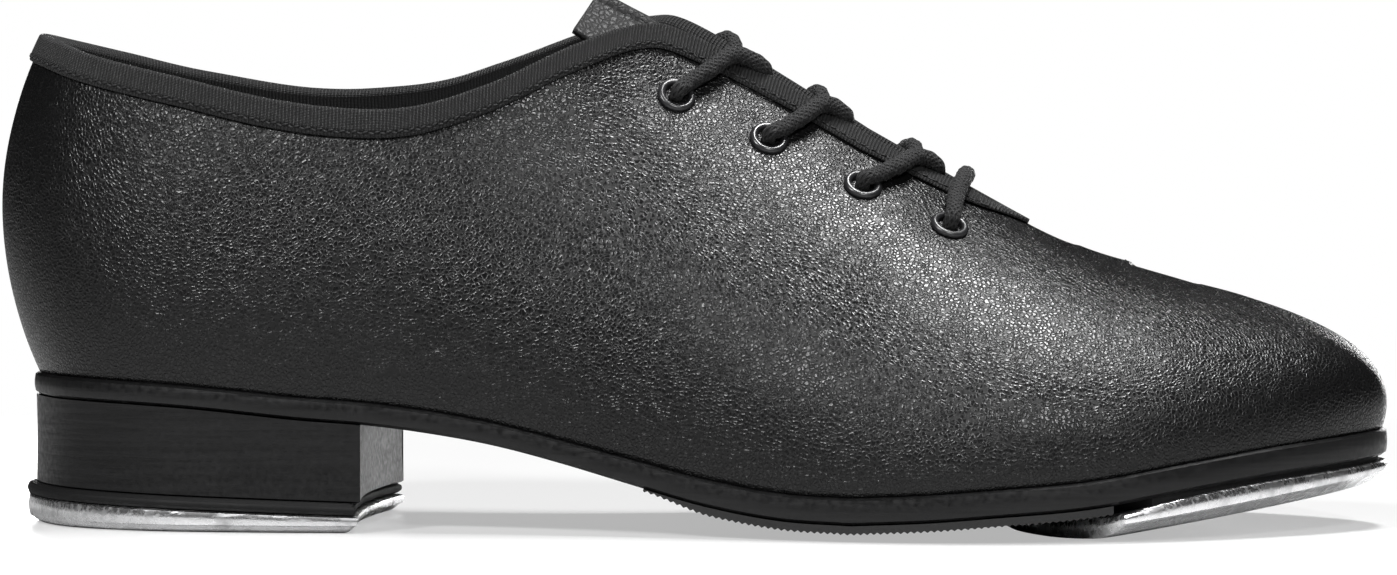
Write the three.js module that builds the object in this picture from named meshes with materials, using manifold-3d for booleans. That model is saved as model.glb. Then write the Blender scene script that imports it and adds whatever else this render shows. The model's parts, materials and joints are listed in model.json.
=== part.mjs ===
// A laced tap shoe for the right foot, in millimetres.
// +X runs from heel to toe, +Y to the inner (medial) side of the foot, +Z up. The ground is z = 0.
import * as THREE from "three";
import { mergeVertices } from "three/addons/utils/BufferGeometryUtils.js";
import Module from "manifold-3d";

// ---- Driving dimensions ----

const SHOE_LENGTH = 280; // heel curve to toe
const BALL_WIDTH = 100; // across the sole at the joints of the foot
const BACK_HEIGHT = 67.7; // top line above the heel seat at the back
const OUTSOLE = 5.2; // thickness at the ball
const OUTSOLE_WAIST = 4.3; // and from the waist back
const TREAD = 1.5; // rubber under the ball
const TREAD_EDGE = 0.5; // thickness of its thinned back edge
const BALL_LIFT = 3.2; // underside of the outsole above the ground at the ball
const TOE_SPRING = 11.2; // rise of the outsole from ball to toe
const HEEL_BLOCK = 17.5; // height at the back
const HEEL_PAD = 2.2;
const HEEL_TAP_BACK = 5.6;
const HEEL_TAP_FRONT = 3.4;
const HEEL_LENGTH = 70; // back of the heel to its breast
const SOLE_MARGIN = 0.8; // the sole's edge stands this far outside the upper's bottom edge
const TAP_MARGIN = 0.1; // the toe tap's edge stands this far outside the sole's
const HEEL_TAP_MARGIN = 1.3; // and the heel tap's
const UPPER = 1.2; // leather
const LINING = 0.6;
const STIFFENER = 0.9; // heel counter and toe puff
const FACING_STAY = 0.4; // tape behind the eyelets
const GAP = 0.3; // between neighbours that touch
const BINDING_WIDTH = 5.2;
const BINDING = 0.5; // the tape's thickness
const INSOLE_BOARD = 2;
const SOCK_LINER = 1.8;
const FILLER = 2; // cork between board and outsole
const EYELET_PAIRS = 4;
const EYELET_BORE = 2.3; // radius
const EYELET_FLANGE = 3.9; // radius
const EYELET_SETBACKS = [15, 15, 15, 16.8]; // centre to the facing's edge, from the top down
const LACE = 3.8; // thickness over the facings
const LACE_PULLED = 2.8; // thickness where it is squeezed, in and under the eyelets
const AGLET = 1.25; // radius
const AGLET_LENGTH = 20;
const TONGUE = 1.3;
const TONGUE_NECK = 14; // length between the top row of lacing and the bend
const TONGUE_TIP = 14.6; // length above the bend
const TONGUE_FOLD = 4.5; // from the bend to the line where the tip folds
const FOLD_GAP = 0.9;
const TOE_TAP_BACK = 63.5; // hindmost point of the toe tap
const TOE_TAP_CURVE = 55.5; // radius of its back edge
const TOE_TAP_ROCKER = 100; // radius of the bend in its underside, seen from the side
const TOE_TAP_TOUCH = 72; // where that underside leaves the ground
const TOE_TAP_SLOPE = 0.155; // slope of the underside in front of the bend
const TOE_TAP_LIFT = 2.2; // its rounded edge lies this far above its middle
const TOE_TAP_ROUND = 7; // width of that rounding
const SOUNDBOARD_BACK = 1.3; // thickness behind
const SOUNDBOARD_FRONT = 0.4; // and in front
const SCREW_SHANK = 1.5; // radius
const SCREW_HEAD = 3.2; // radius
const SCREW_LENGTH = 9;
const NAIL = 0.9; // radius
const FLEX_X = 50; // the line at the ball where the shoe bends
const FLEX_ANGLE = 25; // degrees that the forefoot bends upwards
const FLEX_LEAN = 24.4; // lean of the rear cut, so that it passes in front of the throat

// ---- The pattern: one row for each rib of the last ----
// Drawn for a shoe 280 long and 100 wide with a 67.7 back, and graded from that.
// [feather x, feather y, top x, top y, top above the sole, lower bulge, upper bulge, rise, drop]

const PATTERN = { length: 280, width: 100, back: 67.7 };
const BACK_ROW = [-132.4, 0, -131.5, 0, 67.7, 10.4, 11.1, 0.33, 0.33];
const LATERAL_ROWS = [
  [-129, -12.5, -127.5, -10, 66.5, 8.5, 9, 0.33, 0.33],
  [-120, -23.5, -118, -18.5, 63.6, 6, 7, 0.33, 0.33],
  [-103, -31, -102, -24.5, 60.5, 4.5, 5.5, 0.33, 0.33],
  [-80, -33, -80, -27.5, 57.5, 3.5, 5, 0.35, 0.33],
  [-56, -32.5, -57, -27.5, 57.7, 3.5, 5, 0.35, 0.33],
  [-34, -33.5, -39, -24, 65, 4, 5.5, 0.37, 0.32],
  [-16, -35.5, -22, -16.5, 77, 4, 7, 0.4, 0.28],
  [-2, -38, -9, -7, 84.6, 4, 10, 0.42, 0.22],
  [10, -41, 1, -2.5, 84.5, 4, 14, 0.41, 0.2],
  [24, -45, 20, -1.5, 77.9, 4, 17, 0.4, 0.2],
  [40, -48.5, 44, -1.5, 63.9, 4, 22, 0.41, 0.14],
  [58, -50, 67.5, 0.5, 49.9, 4, 27, 0.42, 0.09],
  [76, -47.5, 78, 3, 44.2, 4, 28, 0.43, 0.06],
  [94, -41.5, 88, 3.4, 39.4, 3.5, 26, 0.45, 0.096],
  [111, -31.5, 95, 3.8, 36.1, 3.5, 23, 0.47, 0.12],
  [126, -18.5, 99.5, 4.2, 34, 4, 22, 0.5, 0.155],
  [135.5, -6, 101.5, 4.4, 33.2, 4.8, 22.5, 0.51, 0.185],
];
const TOE_ROW = [138.4, 4.5, 102.3, 4.5, 33, 5.1, 22.7, 0.51, 0.19];
const MEDIAL_ROWS = [
  [-129, 12.5, -127.5, 9.5, 66.6, 8.5, 9, 0.33, 0.33],
  [-120, 23, -118, 18, 64.4, 6, 7, 0.33, 0.33],
  [-103, 29.5, -102, 23.5, 61.2, 4.5, 5.5, 0.33, 0.33],
  [-80, 30.5, -80, 26, 59.7, 4, 5, 0.35, 0.33],
  [-56, 28, -57, 25, 62.6, 4.5, 5, 0.35, 0.33],
  [-34, 25.5, -40, 22, 69.7, 4.5, 5, 0.37, 0.32],
  [-16, 26, -23, 16.5, 79.5, 4, 6, 0.4, 0.28],
  [-2, 28.5, -10, 10.5, 86, 4, 8, 0.42, 0.22],
  [12, 32, 0, 6.5, 87, 4, 12, 0.41, 0.2],
  [28, 37.5, 20, 5.5, 78.9, 4, 16, 0.4, 0.2],
  [45, 43, 44, 5.5, 64.7, 4, 22, 0.41, 0.14],
  [62, 47.5, 67.5, 1.8, 49.9, 4, 26, 0.42, 0.09],
  [80, 49, 78, 3, 44.2, 4, 28, 0.43, 0.02],
  [99, 45, 88, 3.4, 39.4, 3.5, 26, 0.45, 0.08],
  [116, 36, 95, 3.8, 36.1, 3.5, 23, 0.47, 0.12],
  [129.5, 24.5, 99.5, 4.2, 34, 4, 22, 0.5, 0.155],
  [136.5, 14, 101.5, 4.4, 33.2, 4.8, 22.5, 0.51, 0.185],
];
const TOE = LATERAL_ROWS.length + 1; // rib numbers: 0 at the heel, TOE at the toe, negative on the medial side
const THROAT = 12; // rib at the front end of the lacing
const RIBS = [BACK_ROW, ...LATERAL_ROWS, TOE_ROW, ...MEDIAL_ROWS.toReversed()];

// The sole's side profile: share of the height from ball to heel seat, and of the toe spring.
const WAIST = [
  [-134, 1], [-100, 0.94], [-74, 0.83], [-63, 0.793], [-52, 0.735], [-38, 0.63], [-23, 0.47],
  [-8, 0.295], [6, 0.14], [21, 0.03], [35, 0],
];
const SPRING = [[35, 0], [50, 0.07], [62, 0.157], [81, 0.3], [99, 0.57], [117, 0.81], [138, 1]];

const grade = {
  x: SHOE_LENGTH / PATTERN.length,
  y: BALL_WIDTH / PATTERN.width,
  z: BACK_HEIGHT / PATTERN.back,
};
const mix = THREE.MathUtils.lerp;
const smooth = (a, b, x) => THREE.MathUtils.smoothstep(x, a, b);
const vec = (x, y, z) => new THREE.Vector3(x, y, z);

// A smooth curve through [x, value] pairs.
function through(pairs) {
  const slope = (i) => {
    const [a, b] = [pairs[Math.max(i - 1, 0)], pairs[Math.min(i + 1, pairs.length - 1)]];
    return (b[1] - a[1]) / (b[0] - a[0]);
  };
  return (x) => {
    const last = pairs.length - 2;
    const found = pairs.findIndex((pair) => x < pair[0]) - 1;
    const i = x < pairs[0][0] ? 0 : found < 0 ? last : found;
    const [[x0, y0], [x1, y1]] = [pairs[i], pairs[i + 1]];
    const w = x1 - x0;
    const t = THREE.MathUtils.clamp((x - x0) / w, 0, 1);
    const [t2, t3] = [t * t, t * t * t];
    return y0 * (2 * t3 - 3 * t2 + 1) + y1 * (3 * t2 - 2 * t3)
      + w * (slope(i) * (t3 - 2 * t2 + t) + slope(i + 1) * (t3 - t2));
  };
}

const waist = through(WAIST);
const spring = through(SPRING);
const BALL_SEAT = BALL_LIFT + OUTSOLE;
const HEEL_SEAT = HEEL_TAP_BACK + HEEL_PAD + HEEL_BLOCK + OUTSOLE_WAIST + 2 * GAP;

// Height of the outsole's upper face, where the foot's bottom edge sits.
function seat(x) {
  const drawn = x / grade.x;
  return BALL_SEAT + (HEEL_SEAT - BALL_SEAT) * waist(drawn) + TOE_SPRING * spring(drawn);
}

// Height of its underside.
function underside(x) {
  return seat(x) - mix(OUTSOLE_WAIST, OUTSOLE, smooth(-35, 12, x / grade.x));
}

// The pattern's numbers at any place between its ribs, by Catmull-Rom.
function rib(u) {
  const count = RIBS.length;
  const i = Math.floor(u);
  const t = u - i;
  const at = (k) => RIBS[(((i + k) % count) + count) % count];
  const [a, b, c, d] = [at(-1), at(0), at(1), at(2)];
  return b.map((_, n) =>
    0.5 * (2 * b[n] + (c[n] - a[n]) * t + (2 * a[n] - 5 * b[n] + 4 * c[n] - d[n]) * t * t
      + (3 * b[n] - a[n] - 3 * c[n] + d[n]) * t * t * t));
}

// The bottom edge at rib u, moved outwards in plan by margin.
function feather(u, margin = 0) {
  const [a, b, c] = [rib(u - 0.02), rib(u), rib(u + 0.02)];
  const tangent = vec((c[0] - a[0]) * grade.x, (c[1] - a[1]) * grade.y, 0).normalize();
  const out = vec(tangent.y, -tangent.x, 0);
  return { place: vec(b[0] * grade.x, b[1] * grade.y, 0).addScaledVector(out, margin), out };
}

// The last's outer surface: each rib is a cubic from the bottom edge up to the top line or ridge.
function surface(u, v) {
  const [, , tx, ty, h, low, high, rise, drop] = rib(u);
  const { place: foot, out } = feather(u);
  foot.z = seat(foot.x) + GAP;
  const top = vec(tx * grade.x, ty * grade.y, seat(tx * grade.x) + h * grade.z);
  const height = top.z - foot.z;
  const a = foot.clone().addScaledVector(out, low).setZ(foot.z + rise * height);
  const b = top.clone().addScaledVector(out, high).setZ(top.z - drop * height);
  const w = 1 - v;
  return foot.multiplyScalar(w * w * w).addScaledVector(a, 3 * w * w * v)
    .addScaledVector(b, 3 * w * v * v).addScaledVector(top, v * v * v);
}

function steepest(u, v) {
  const [e, w] = [0.01, Math.min(v, 0.98)];
  const along = surface(u + e, w).sub(surface(u - e, w));
  const up = surface(u, w + e).sub(surface(u, w - e));
  return along.cross(up).normalize();
}
// The outward direction. In front of the throat both sides share one direction along the ridge.
function outward(u, v) {
  const out = steepest(u, v);
  const shared = smooth(0.75, 1, v) * smooth(THROAT - 0.3, THROAT + 0.3, Math.abs(u));
  return shared === 0 ? out : out.lerp(out.clone().add(steepest(-u, v)).normalize(), shared).normalize();
}

// A point under (or, with a negative depth, over) the leather's outer face.
const skin = (u, v, depth) => surface(u, v).addScaledVector(outward(u, v), -depth);

// ---- Solids ----

const wasm = await Module();
wasm.setup();

function solidOf(geometry, matrix = new THREE.Matrix4()) {
  const bare = (geometry.index ? geometry.toNonIndexed() : geometry.clone()).applyMatrix4(matrix);
  for (const name of Object.keys(bare.attributes)) {
    if (name !== "position") bare.deleteAttribute(name);
  }
  const merged = mergeVertices(bare, 1e-4);
  const kept = [];
  for (let i = 0; i < merged.index.count; i += 3) {
    const [a, b, c] = [0, 1, 2].map((k) => merged.index.getX(i + k));
    if (a !== b && b !== c && c !== a) kept.push(a, b, c);
  }
  const mesh = { numProp: 3, vertProperties: merged.attributes.position.array };
  const made = new wasm.Manifold(new wasm.Mesh({ ...mesh, triVerts: new Uint32Array(kept) }));
  if (made.volume() > 0) return made;
  return new wasm.Manifold(new wasm.Mesh({ ...mesh, triVerts: new Uint32Array(kept.toReversed()) }));
}

function geometryOf(solid) {
  const { vertProperties, triVerts, numProp } = solid.getMesh();
  const places = [];
  for (let i = 0; i < vertProperties.length; i += numProp) {
    places.push(vertProperties[i], vertProperties[i + 1], vertProperties[i + 2]);
  }
  const geometry = new THREE.BufferGeometry();
  geometry.setAttribute("position", new THREE.Float32BufferAttribute(places, 3));
  geometry.setIndex([...triVerts]);
  geometry.computeVertexNormals();
  return geometry;
}

// Evenly spaced values from one number to another.
const evenly = (from, to, steps) => Array.from({ length: steps + 1 }, (_, i) => mix(from, to, i / steps));
// Two ends and the given marks between them, so that neighbouring layers bend at the same places.
function marksBetween(from, to, marks) {
  const near = 0.15 * Math.abs(marks[1] - marks[0]);
  return [from, ...marks.filter((m) => m > from + near && m < to - near), to];
}

// A closed solid between two faces over the same lists of parameters.
// A folded one comes together at its last row, where the two halves of that row meet.
function between(nearFace, farFace, aList, bList, folded = false) {
  const [aSteps, bSteps] = [aList.length - 1, bList.length - 1];
  const places = [nearFace, farFace].flatMap((face) =>
    aList.flatMap((a) => bList.flatMap((b) => face(a, b).toArray())));
  const layer = (aSteps + 1) * (bSteps + 1);
  const at = (i, j, far) => far * layer + i * (bSteps + 1) + j;
  const index = [];
  const quad = (a, b, c, d) => index.push(a, b, c, a, c, d);
  for (let i = 0; i < aSteps; i++) {
    for (let j = 0; j < bSteps; j++) {
      quad(at(i, j, 0), at(i + 1, j, 0), at(i + 1, j + 1, 0), at(i, j + 1, 0));
      quad(at(i, j, 1), at(i, j + 1, 1), at(i + 1, j + 1, 1), at(i + 1, j, 1));
    }
    quad(at(i, 0, 0), at(i, 0, 1), at(i + 1, 0, 1), at(i + 1, 0, 0));
    quad(at(i, bSteps, 0), at(i + 1, bSteps, 0), at(i + 1, bSteps, 1), at(i, bSteps, 1));
  }
  for (let j = 0; j < bSteps; j++) {
    quad(at(0, j, 0), at(0, j + 1, 0), at(0, j + 1, 1), at(0, j, 1));
    if (!folded) quad(at(aSteps, j, 0), at(aSteps, j, 1), at(aSteps, j + 1, 1), at(aSteps, j + 1, 0));
  }
  const geometry = new THREE.BufferGeometry();
  geometry.setAttribute("position", new THREE.Float32BufferAttribute(places, 3));
  geometry.setIndex(index);
  return solidOf(geometry);
}

// A layer of the shoe's wall over ribs u0 to u1 and heights v0 to v1, between two depths.
// A depth, and the upper height, is a number or a function.
const HALF_MARKS = [
  0.5, 1, 1.5, 2, 3, 4, 5, 6, 6.5, 7, 7.5, 8, 8.5, 9, 9.5, 10, 10.5, 11, 11.5, 12, 13, 14, 15, 15.5, 16,
  16.5, 17, 17.5,
];
const RIB_MARKS = [...HALF_MARKS.map((u) => -u).toReversed(), 0, ...HALF_MARKS];
const HEIGHT_MARKS = [0.17, 0.34, 0.5, 0.65, 0.77, 0.86, 0.925];
const valueOf = (depth, u, v) => (typeof depth === "function" ? depth(u, v) : depth);
function wall(u0, u1, v0, v1, near, far) {
  const heights = marksBetween(v0, 1, HEIGHT_MARKS);
  const last = heights.findIndex((v) => v >= valueOf(v1, THROAT, 1) - 0.01);
  const face = (depth) => (u, j) => {
    const v = j === last ? valueOf(v1, u, 1) : heights[j];
    return skin(u, v, valueOf(depth, u, v));
  };
  const ribs = marksBetween(Math.min(u0, u1), Math.max(u0, u1), RIB_MARKS);
  return between(face(near), face(far), ribs, evenly(0, last, last));
}

// A layer of the shoe's front, in one sheet from the lateral bottom edge over the ridge to the
// medial one, from rib u0 to the toe.
function hood(u0, v0, near, far) {
  const heights = marksBetween(v0, 1, HEIGHT_MARKS);
  const face = (depth) => (u, b) => {
    const v = Math.min(b, 2 - b);
    return skin(b > 1 ? -u : u, v, valueOf(depth, u, v));
  };
  const across = [...heights, ...heights.slice(0, -1).map((v) => 2 - v).toReversed()];
  return between(face(near), face(far), marksBetween(u0, TOE, RIB_MARKS), across, true);
}

// A bottom layer: the feather outline moved by margin, between two height functions of x.
function bottomLayer(margin, under, over, u0 = 0, u1 = TOE, across = [0, 0.5, 1]) {
  const face = (height) => (u, b) => {
    const place = feather(u, margin).place.lerp(feather(-u, margin).place, b);
    return place.setZ(height(place.x, place));
  };
  return between(face(under), face(over), marksBetween(u0, u1, RIB_MARKS), across);
}

// An upright prism on a plan outline, or one on a side outline that runs across the shoe.
const DEEP = 400;
function planPrism(points) {
  const shape = new THREE.Shape(points.map(([x, y]) => new THREE.Vector2(x, y)));
  const geometry = new THREE.ExtrudeGeometry(shape, { depth: DEEP, bevelEnabled: false });
  return solidOf(geometry.translate(0, 0, -DEEP / 2));
}
function sidePrism(points) {
  const shape = new THREE.Shape(points.map(([x, z]) => new THREE.Vector2(x, z)));
  const geometry = new THREE.ExtrudeGeometry(shape, { depth: DEEP, bevelEnabled: false });
  return solidOf(geometry.translate(0, 0, -DEEP / 2).rotateX(Math.PI / 2));
}

// ---- Where the shoe bends ----
// Everything that crosses the ball is cut there. Under the foot the cut is upright, and above it the
// two faces open to a wedge as wide as the bend, which the vamp's flex panel fills.

const FLEX_AT = FLEX_X * grade.x;
const FLEX_Z = seat(FLEX_AT);
const lean = (degrees, z) => Math.tan(THREE.MathUtils.degToRad(degrees)) * (z - FLEX_Z);
const [BELOW, ABOVE] = [-50, 150];
const REAR_LEAN = THREE.MathUtils.radToDeg(Math.atan(lean(FLEX_LEAN, FLEX_Z + 1) * grade.x));
const FRONT_LEAN = REAR_LEAN + FLEX_ANGLE + 1;
const behind = sidePrism([
  [-DEEP, BELOW], [FLEX_AT - GAP / 2, BELOW], [FLEX_AT - GAP / 2, FLEX_Z],
  [FLEX_AT - GAP / 2 + lean(REAR_LEAN, ABOVE), ABOVE], [-DEEP, ABOVE],
]);
const ahead = sidePrism([
  [FLEX_AT + GAP / 2, BELOW], [DEEP, BELOW], [DEEP, ABOVE],
  [FLEX_AT + GAP / 2 + lean(FRONT_LEAN, ABOVE), ABOVE], [FLEX_AT + GAP / 2, FLEX_Z],
]);
const PANEL_FOOT = FLEX_Z + 2; // the flex panel starts where the wedge is wide enough
const wedge = sidePrism([
  [FLEX_AT + GAP / 2 + lean(REAR_LEAN, PANEL_FOOT), PANEL_FOOT],
  [FLEX_AT - GAP / 2 + lean(FRONT_LEAN, PANEL_FOOT), PANEL_FOOT],
  [FLEX_AT - GAP / 2 + lean(FRONT_LEAN, ABOVE), ABOVE],
  [FLEX_AT + GAP / 2 + lean(REAR_LEAN, ABOVE), ABOVE],
]);

// ---- Materials ----

const material = (color, roughness, metalness = 0) =>
  new THREE.MeshStandardMaterial({ color, roughness, metalness });
const looks = {
  upper: material(0x161616, 0.45),
  lining: material(0x202022, 0.95),
  board: material(0x8a6f4d, 0.9),
  stiffener: material(0xb9b2a0, 0.85),
  binding: material(0x141414, 0.9),
  lace: material(0x101010, 0.95),
  sole: material(0x1a1a1a, 0.5),
  rubber: material(0x121212, 0.8),
  fibre: material(0x1b1917, 0.85),
  cork: material(0xa9825a, 0.95),
  tap: material(0xc9cbce, 0.25, 1),
  steel: material(0xa8abb0, 0.35, 1),
  eyelet: material(0x1d1e20, 0.35, 1),
  aglet: material(0x0c0c0c, 0.2),
};

const shoe = new THREE.Group();
function add(name, geometry, look) {
  const mesh = new THREE.Mesh(geometry, look);
  mesh.name = name;
  shoe.add(mesh);
  return mesh;
}

// ---- Upper and lining ----

const EDGE = 0.985; // walls stop here, inside the binding
const thinning = (u, v) => smooth(0.6, 0.8, v) * (1 - smooth(THROAT, THROAT + 1, Math.abs(u)));
const liningNear = (u, v) =>
  mix(UPPER + STIFFENER + 2 * GAP, UPPER + FACING_STAY + 1.8 * GAP, thinning(u, v));
const liningFar = (u, v) => liningNear(u, v) + LINING;
const EDGE_STACK = liningFar(0, 1); // all layers together at the top line

// Eyelet centres: the ribs that give even spacing along each facing.
const EYELET_RIBS = [8.82, 9.9, 10.72, 11.42];
function eyeletHeight(u, setback) {
  const edge = surface(u, 1);
  return evenly(1, 0.5, 200).find((v) => surface(u, v).distanceTo(edge) >= setback);
}
function eyeletFrame(u, setback) {
  const v = eyeletHeight(u, setback);
  const out = outward(u, v);
  const turn = new THREE.Quaternion().setFromUnitVectors(vec(0, 0, 1), out);
  return { u, place: surface(u, v), out, turn };
}
const eyelets = [];
for (let i = 0; i < EYELET_PAIRS; i++) {
  const u = EYELET_RIBS[i];
  eyelets.push({ name: `eyelet_lateral_${i + 1}`, ...eyeletFrame(u, EYELET_SETBACKS[i]) });
  eyelets.push({ name: `eyelet_medial_${i + 1}`, ...eyeletFrame(-u, EYELET_SETBACKS[i]) });
}
const BARREL = 0.4; // the eyelet's own wall
function eyeletHole({ place, turn }, radius) {
  const hole = new THREE.CylinderGeometry(radius, radius, 20, 12).rotateX(Math.PI / 2);
  return solidOf(hole, new THREE.Matrix4().compose(place, turn, vec(1, 1, 1)));
}
function punched(solid) {
  return eyelets.reduce((s, e) => s.subtract(eyeletHole(e, EYELET_BORE + BARREL + GAP)), solid);
}

const SEAM = 0.04; // half the back seam's gap, in ribs
// Quarters end inside the binding, and in front of it they meet along the ridge.
const quarterTop = (u) => mix(EDGE, 0.998, smooth(THROAT - 0.3, THROAT + 0.1, Math.abs(u)));
const lateralWall = wall(SEAM, THROAT + 2.5, 0, quarterTop, 0, UPPER);
const medialWall = wall(-SEAM, -THROAT - 2.5, 0, quarterTop, 0, UPPER);
const vamp = hood(THROAT - 1, 0, 0, UPPER);
const vampLining = hood(THROAT - 1, 0.01, liningNear, liningFar);

add("lateral_quarter", geometryOf(punched(lateralWall.intersect(behind))), looks.upper);
add("medial_quarter", geometryOf(punched(medialWall.intersect(behind))), looks.upper);
add("vamp_flex_panel", geometryOf(vamp.intersect(wedge)), looks.upper);
add("vamp_toe", geometryOf(vamp.intersect(ahead)), looks.upper);

const quarterLining = wall(-THROAT - 2, THROAT + 2, 0.01, EDGE, liningNear, liningFar);
add("quarter_lining", geometryOf(punched(quarterLining.intersect(behind))), looks.lining);
add("vamp_lining_flex_panel", geometryOf(vampLining.intersect(wedge)), looks.lining);
add("vamp_lining", geometryOf(vampLining.intersect(ahead)), looks.lining);

const COUNTER_WING = 5; // ribs that the counter reaches forward from the back
const stiffNear = UPPER + GAP;
const stiffFar = stiffNear + STIFFENER;
const counter = wall(-COUNTER_WING, COUNTER_WING, 0, 0.65, stiffNear, stiffFar);
add("heel_counter", geometryOf(counter), looks.stiffener);

const PUFF_START = 15;
const puff = hood(PUFF_START, 0, stiffNear, stiffFar);
add("toe_puff", geometryOf(puff.intersect(ahead)), looks.stiffener);

for (const [name, sign] of [["lateral", 1], ["medial", -1]]) {
  const near = UPPER + 0.9 * GAP;
  const stay = wall(sign * 8, sign * 12, 0.65, EDGE, near, near + FACING_STAY);
  add(`${name}_facing_stay`, geometryOf(punched(stay)), looks.stiffener);
}

// ---- Binding: a folded tape round the whole opening, from one side of the throat to the other ----

const bindingLength = (u) => BINDING_WIDTH / surface(u, 1).distanceTo(surface(u, 0.9)) / 10;
function bindingSection(u) {
  const low = 1 - bindingLength(u);
  const rim = outward(u, 1);
  const up = surface(u, 1).sub(surface(u, 0.98)).normalize();
  const depths = [-1.3 * GAP - BINDING, EDGE_STACK + 1.3 * GAP + BINDING, EDGE_STACK + 1.3 * GAP, -1.3 * GAP];
  const [nearOut, farOut, farIn, nearIn] = depths;
  const edge = (depth, lift) =>
    surface(u, 1).addScaledVector(rim, -depth).addScaledVector(up, lift);
  return [
    skin(u, low, nearOut), edge(nearOut, 0), edge(mix(nearOut, farOut, 0.2), BINDING),
    edge(mix(nearOut, farOut, 0.8), BINDING), edge(farOut, 0), skin(u, low, farOut),
    skin(u, low, farIn), edge(farIn, 0), edge(nearIn, 0), skin(u, low, nearIn),
  ];
}
// A bar whose cross-section changes along it, with flat ends.
function swept(sections) {
  const sides = sections[0].length;
  const places = sections.flat().flatMap((p) => p.toArray());
  const index = [];
  for (let i = 0; i + 1 < sections.length; i++) {
    for (let j = 0; j < sides; j++) {
      const [a, b] = [i * sides + j, i * sides + ((j + 1) % sides)];
      index.push(a, b, b + sides, a, b + sides, a + sides);
    }
  }
  const flat = (ring) => {
    const [p, q, r] = [ring[0], ring[1], ring.at(-1)];
    const x = q.clone().sub(p).normalize();
    const z = x.clone().cross(r.clone().sub(p)).normalize();
    const y = z.cross(x);
    return ring.map((w) => new THREE.Vector2(w.clone().sub(p).dot(x), w.clone().sub(p).dot(y)));
  };
  for (const [ring, first] of [[sections[0], 0], [sections.at(-1), (sections.length - 1) * sides]]) {
    for (const [a, b, c] of THREE.ShapeUtils.triangulateShape(flat(ring), [])) {
      const turned = THREE.ShapeUtils.isClockWise(flat(ring)) === (first === 0);
      index.push(...(turned ? [a, b, c] : [c, b, a]).map((k) => k + first));
    }
  }
  const geometry = new THREE.BufferGeometry();
  geometry.setAttribute("position", new THREE.Float32BufferAttribute(places, 3));
  geometry.setIndex(index);
  return solidOf(geometry);
}
const BINDING_END = THROAT - 0.1;
const tape = marksBetween(-BINDING_END, BINDING_END, RIB_MARKS).map(bindingSection);
const binding = swept(tape);

// ---- Bottom: board, filler, shank, outsole, tread ----

const WALL = UPPER + STIFFENER + LINING + 3 * GAP; // depth of the wall at the sole
const boardFoot = (x) => seat(x) + FILLER + 2 * GAP;
const boardTop = (x) => boardFoot(x) + INSOLE_BOARD;
const board = bottomLayer(-WALL, boardFoot, boardTop);
const LINER_LIFT = 1.4; // room for the nail heads
const liner = bottomLayer(-WALL - GAP, (x) => boardTop(x) + LINER_LIFT, (x) => boardTop(x) + LINER_LIFT + SOCK_LINER);
const LASTING_MARGIN = 12; // the upper's turned-in edge lies round the filler
const filler = bottomLayer(-LASTING_MARGIN, (x) => seat(x) + GAP, (x) => seat(x) + GAP + FILLER, 8.5, 17);
const outsole = bottomLayer(SOLE_MARGIN, underside, seat);
const SHANK = { back: -98, front: 2, halfWidth: 6, thickness: 1.2 };
const shankFace = (lift) => (x, y) => vec(x * grade.x, y, seat(x * grade.x) + 1.5 * GAP + lift);
const shank = between(shankFace(0), shankFace(SHANK.thickness),
  evenly(SHANK.back, SHANK.front, 12), [-SHANK.halfWidth, SHANK.halfWidth]);

// ---- Taps ----

function tapUnder(x) {
  const ahead = Math.max(x - TOE_TAP_TOUCH * grade.x, 0);
  const bend = Math.min(ahead, TOE_TAP_SLOPE * TOE_TAP_ROCKER);
  return bend * bend / (2 * TOE_TAP_ROCKER) + TOE_TAP_SLOPE * (ahead - bend);
}
const soundboardUnder = (x) =>
  underside(x) - GAP - mix(SOUNDBOARD_BACK, SOUNDBOARD_FRONT, smooth(85, 105, x / grade.x));
const tapOver = (x) => soundboardUnder(x) - GAP;
const tapOutline = evenly(-TOE, TOE, 120).map((u) => feather(u, SOLE_MARGIN + TAP_MARGIN).place);
function tapLift(place) {
  const inset = Math.min(...tapOutline.map((p) => Math.hypot(p.x - place.x, p.y - place.y)));
  return TOE_TAP_LIFT * (1 - smooth(0, TOE_TAP_ROUND, inset)) ** 2;
}
// Plan of the toe tap's ground: in front of an arc that bulges towards the heel.
function tapPlan(grow) {
  const radius = TOE_TAP_CURVE * grade.y + grow;
  const centre = TOE_TAP_BACK * grade.x + TOE_TAP_CURVE * grade.y;
  const arc = evenly(0.5, 1.5, 24).map((turn) =>
    [centre + radius * Math.cos(Math.PI * turn), radius * Math.sin(Math.PI * turn) + 1]);
  return planPrism([...arc, [DEEP / 2, -radius + 1], [DEEP / 2, radius + 1]]);
}
const TAP_ACROSS = [0, 0.03, 0.07, 0.2, 0.5, 0.8, 0.93, 0.97, 1];
const tapPlate = bottomLayer(SOLE_MARGIN + TAP_MARGIN, (x, place) => tapUnder(x) + tapLift(place),
  tapOver, 10, TOE, TAP_ACROSS).intersect(tapPlan(0));
const BOARD_INSET = 1.6; // the sound board hides behind the tap's edge
const BOARD_BACK = 6; // and starts where there is room for it
const soundboard = bottomLayer(SOLE_MARGIN - BOARD_INSET, soundboardUnder,
  (x) => underside(x) - GAP, 10).intersect(tapPlan(-BOARD_BACK));
const TREAD_BACK = -6;
const treadUnder = (x) => underside(x) - GAP - mix(TREAD_EDGE, TREAD, smooth(TREAD_BACK, 8, x / grade.x));
const tread = bottomLayer(SOLE_MARGIN - 0.4, treadUnder, (x) => underside(x) - GAP, 6, TOE - 3)
  .subtract(tapPlan(1.5))
  .intersect(planPrism([[TREAD_BACK * grade.x, -DEEP], [DEEP, -DEEP], [DEEP, DEEP], [TREAD_BACK * grade.x, DEEP]]));

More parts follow.
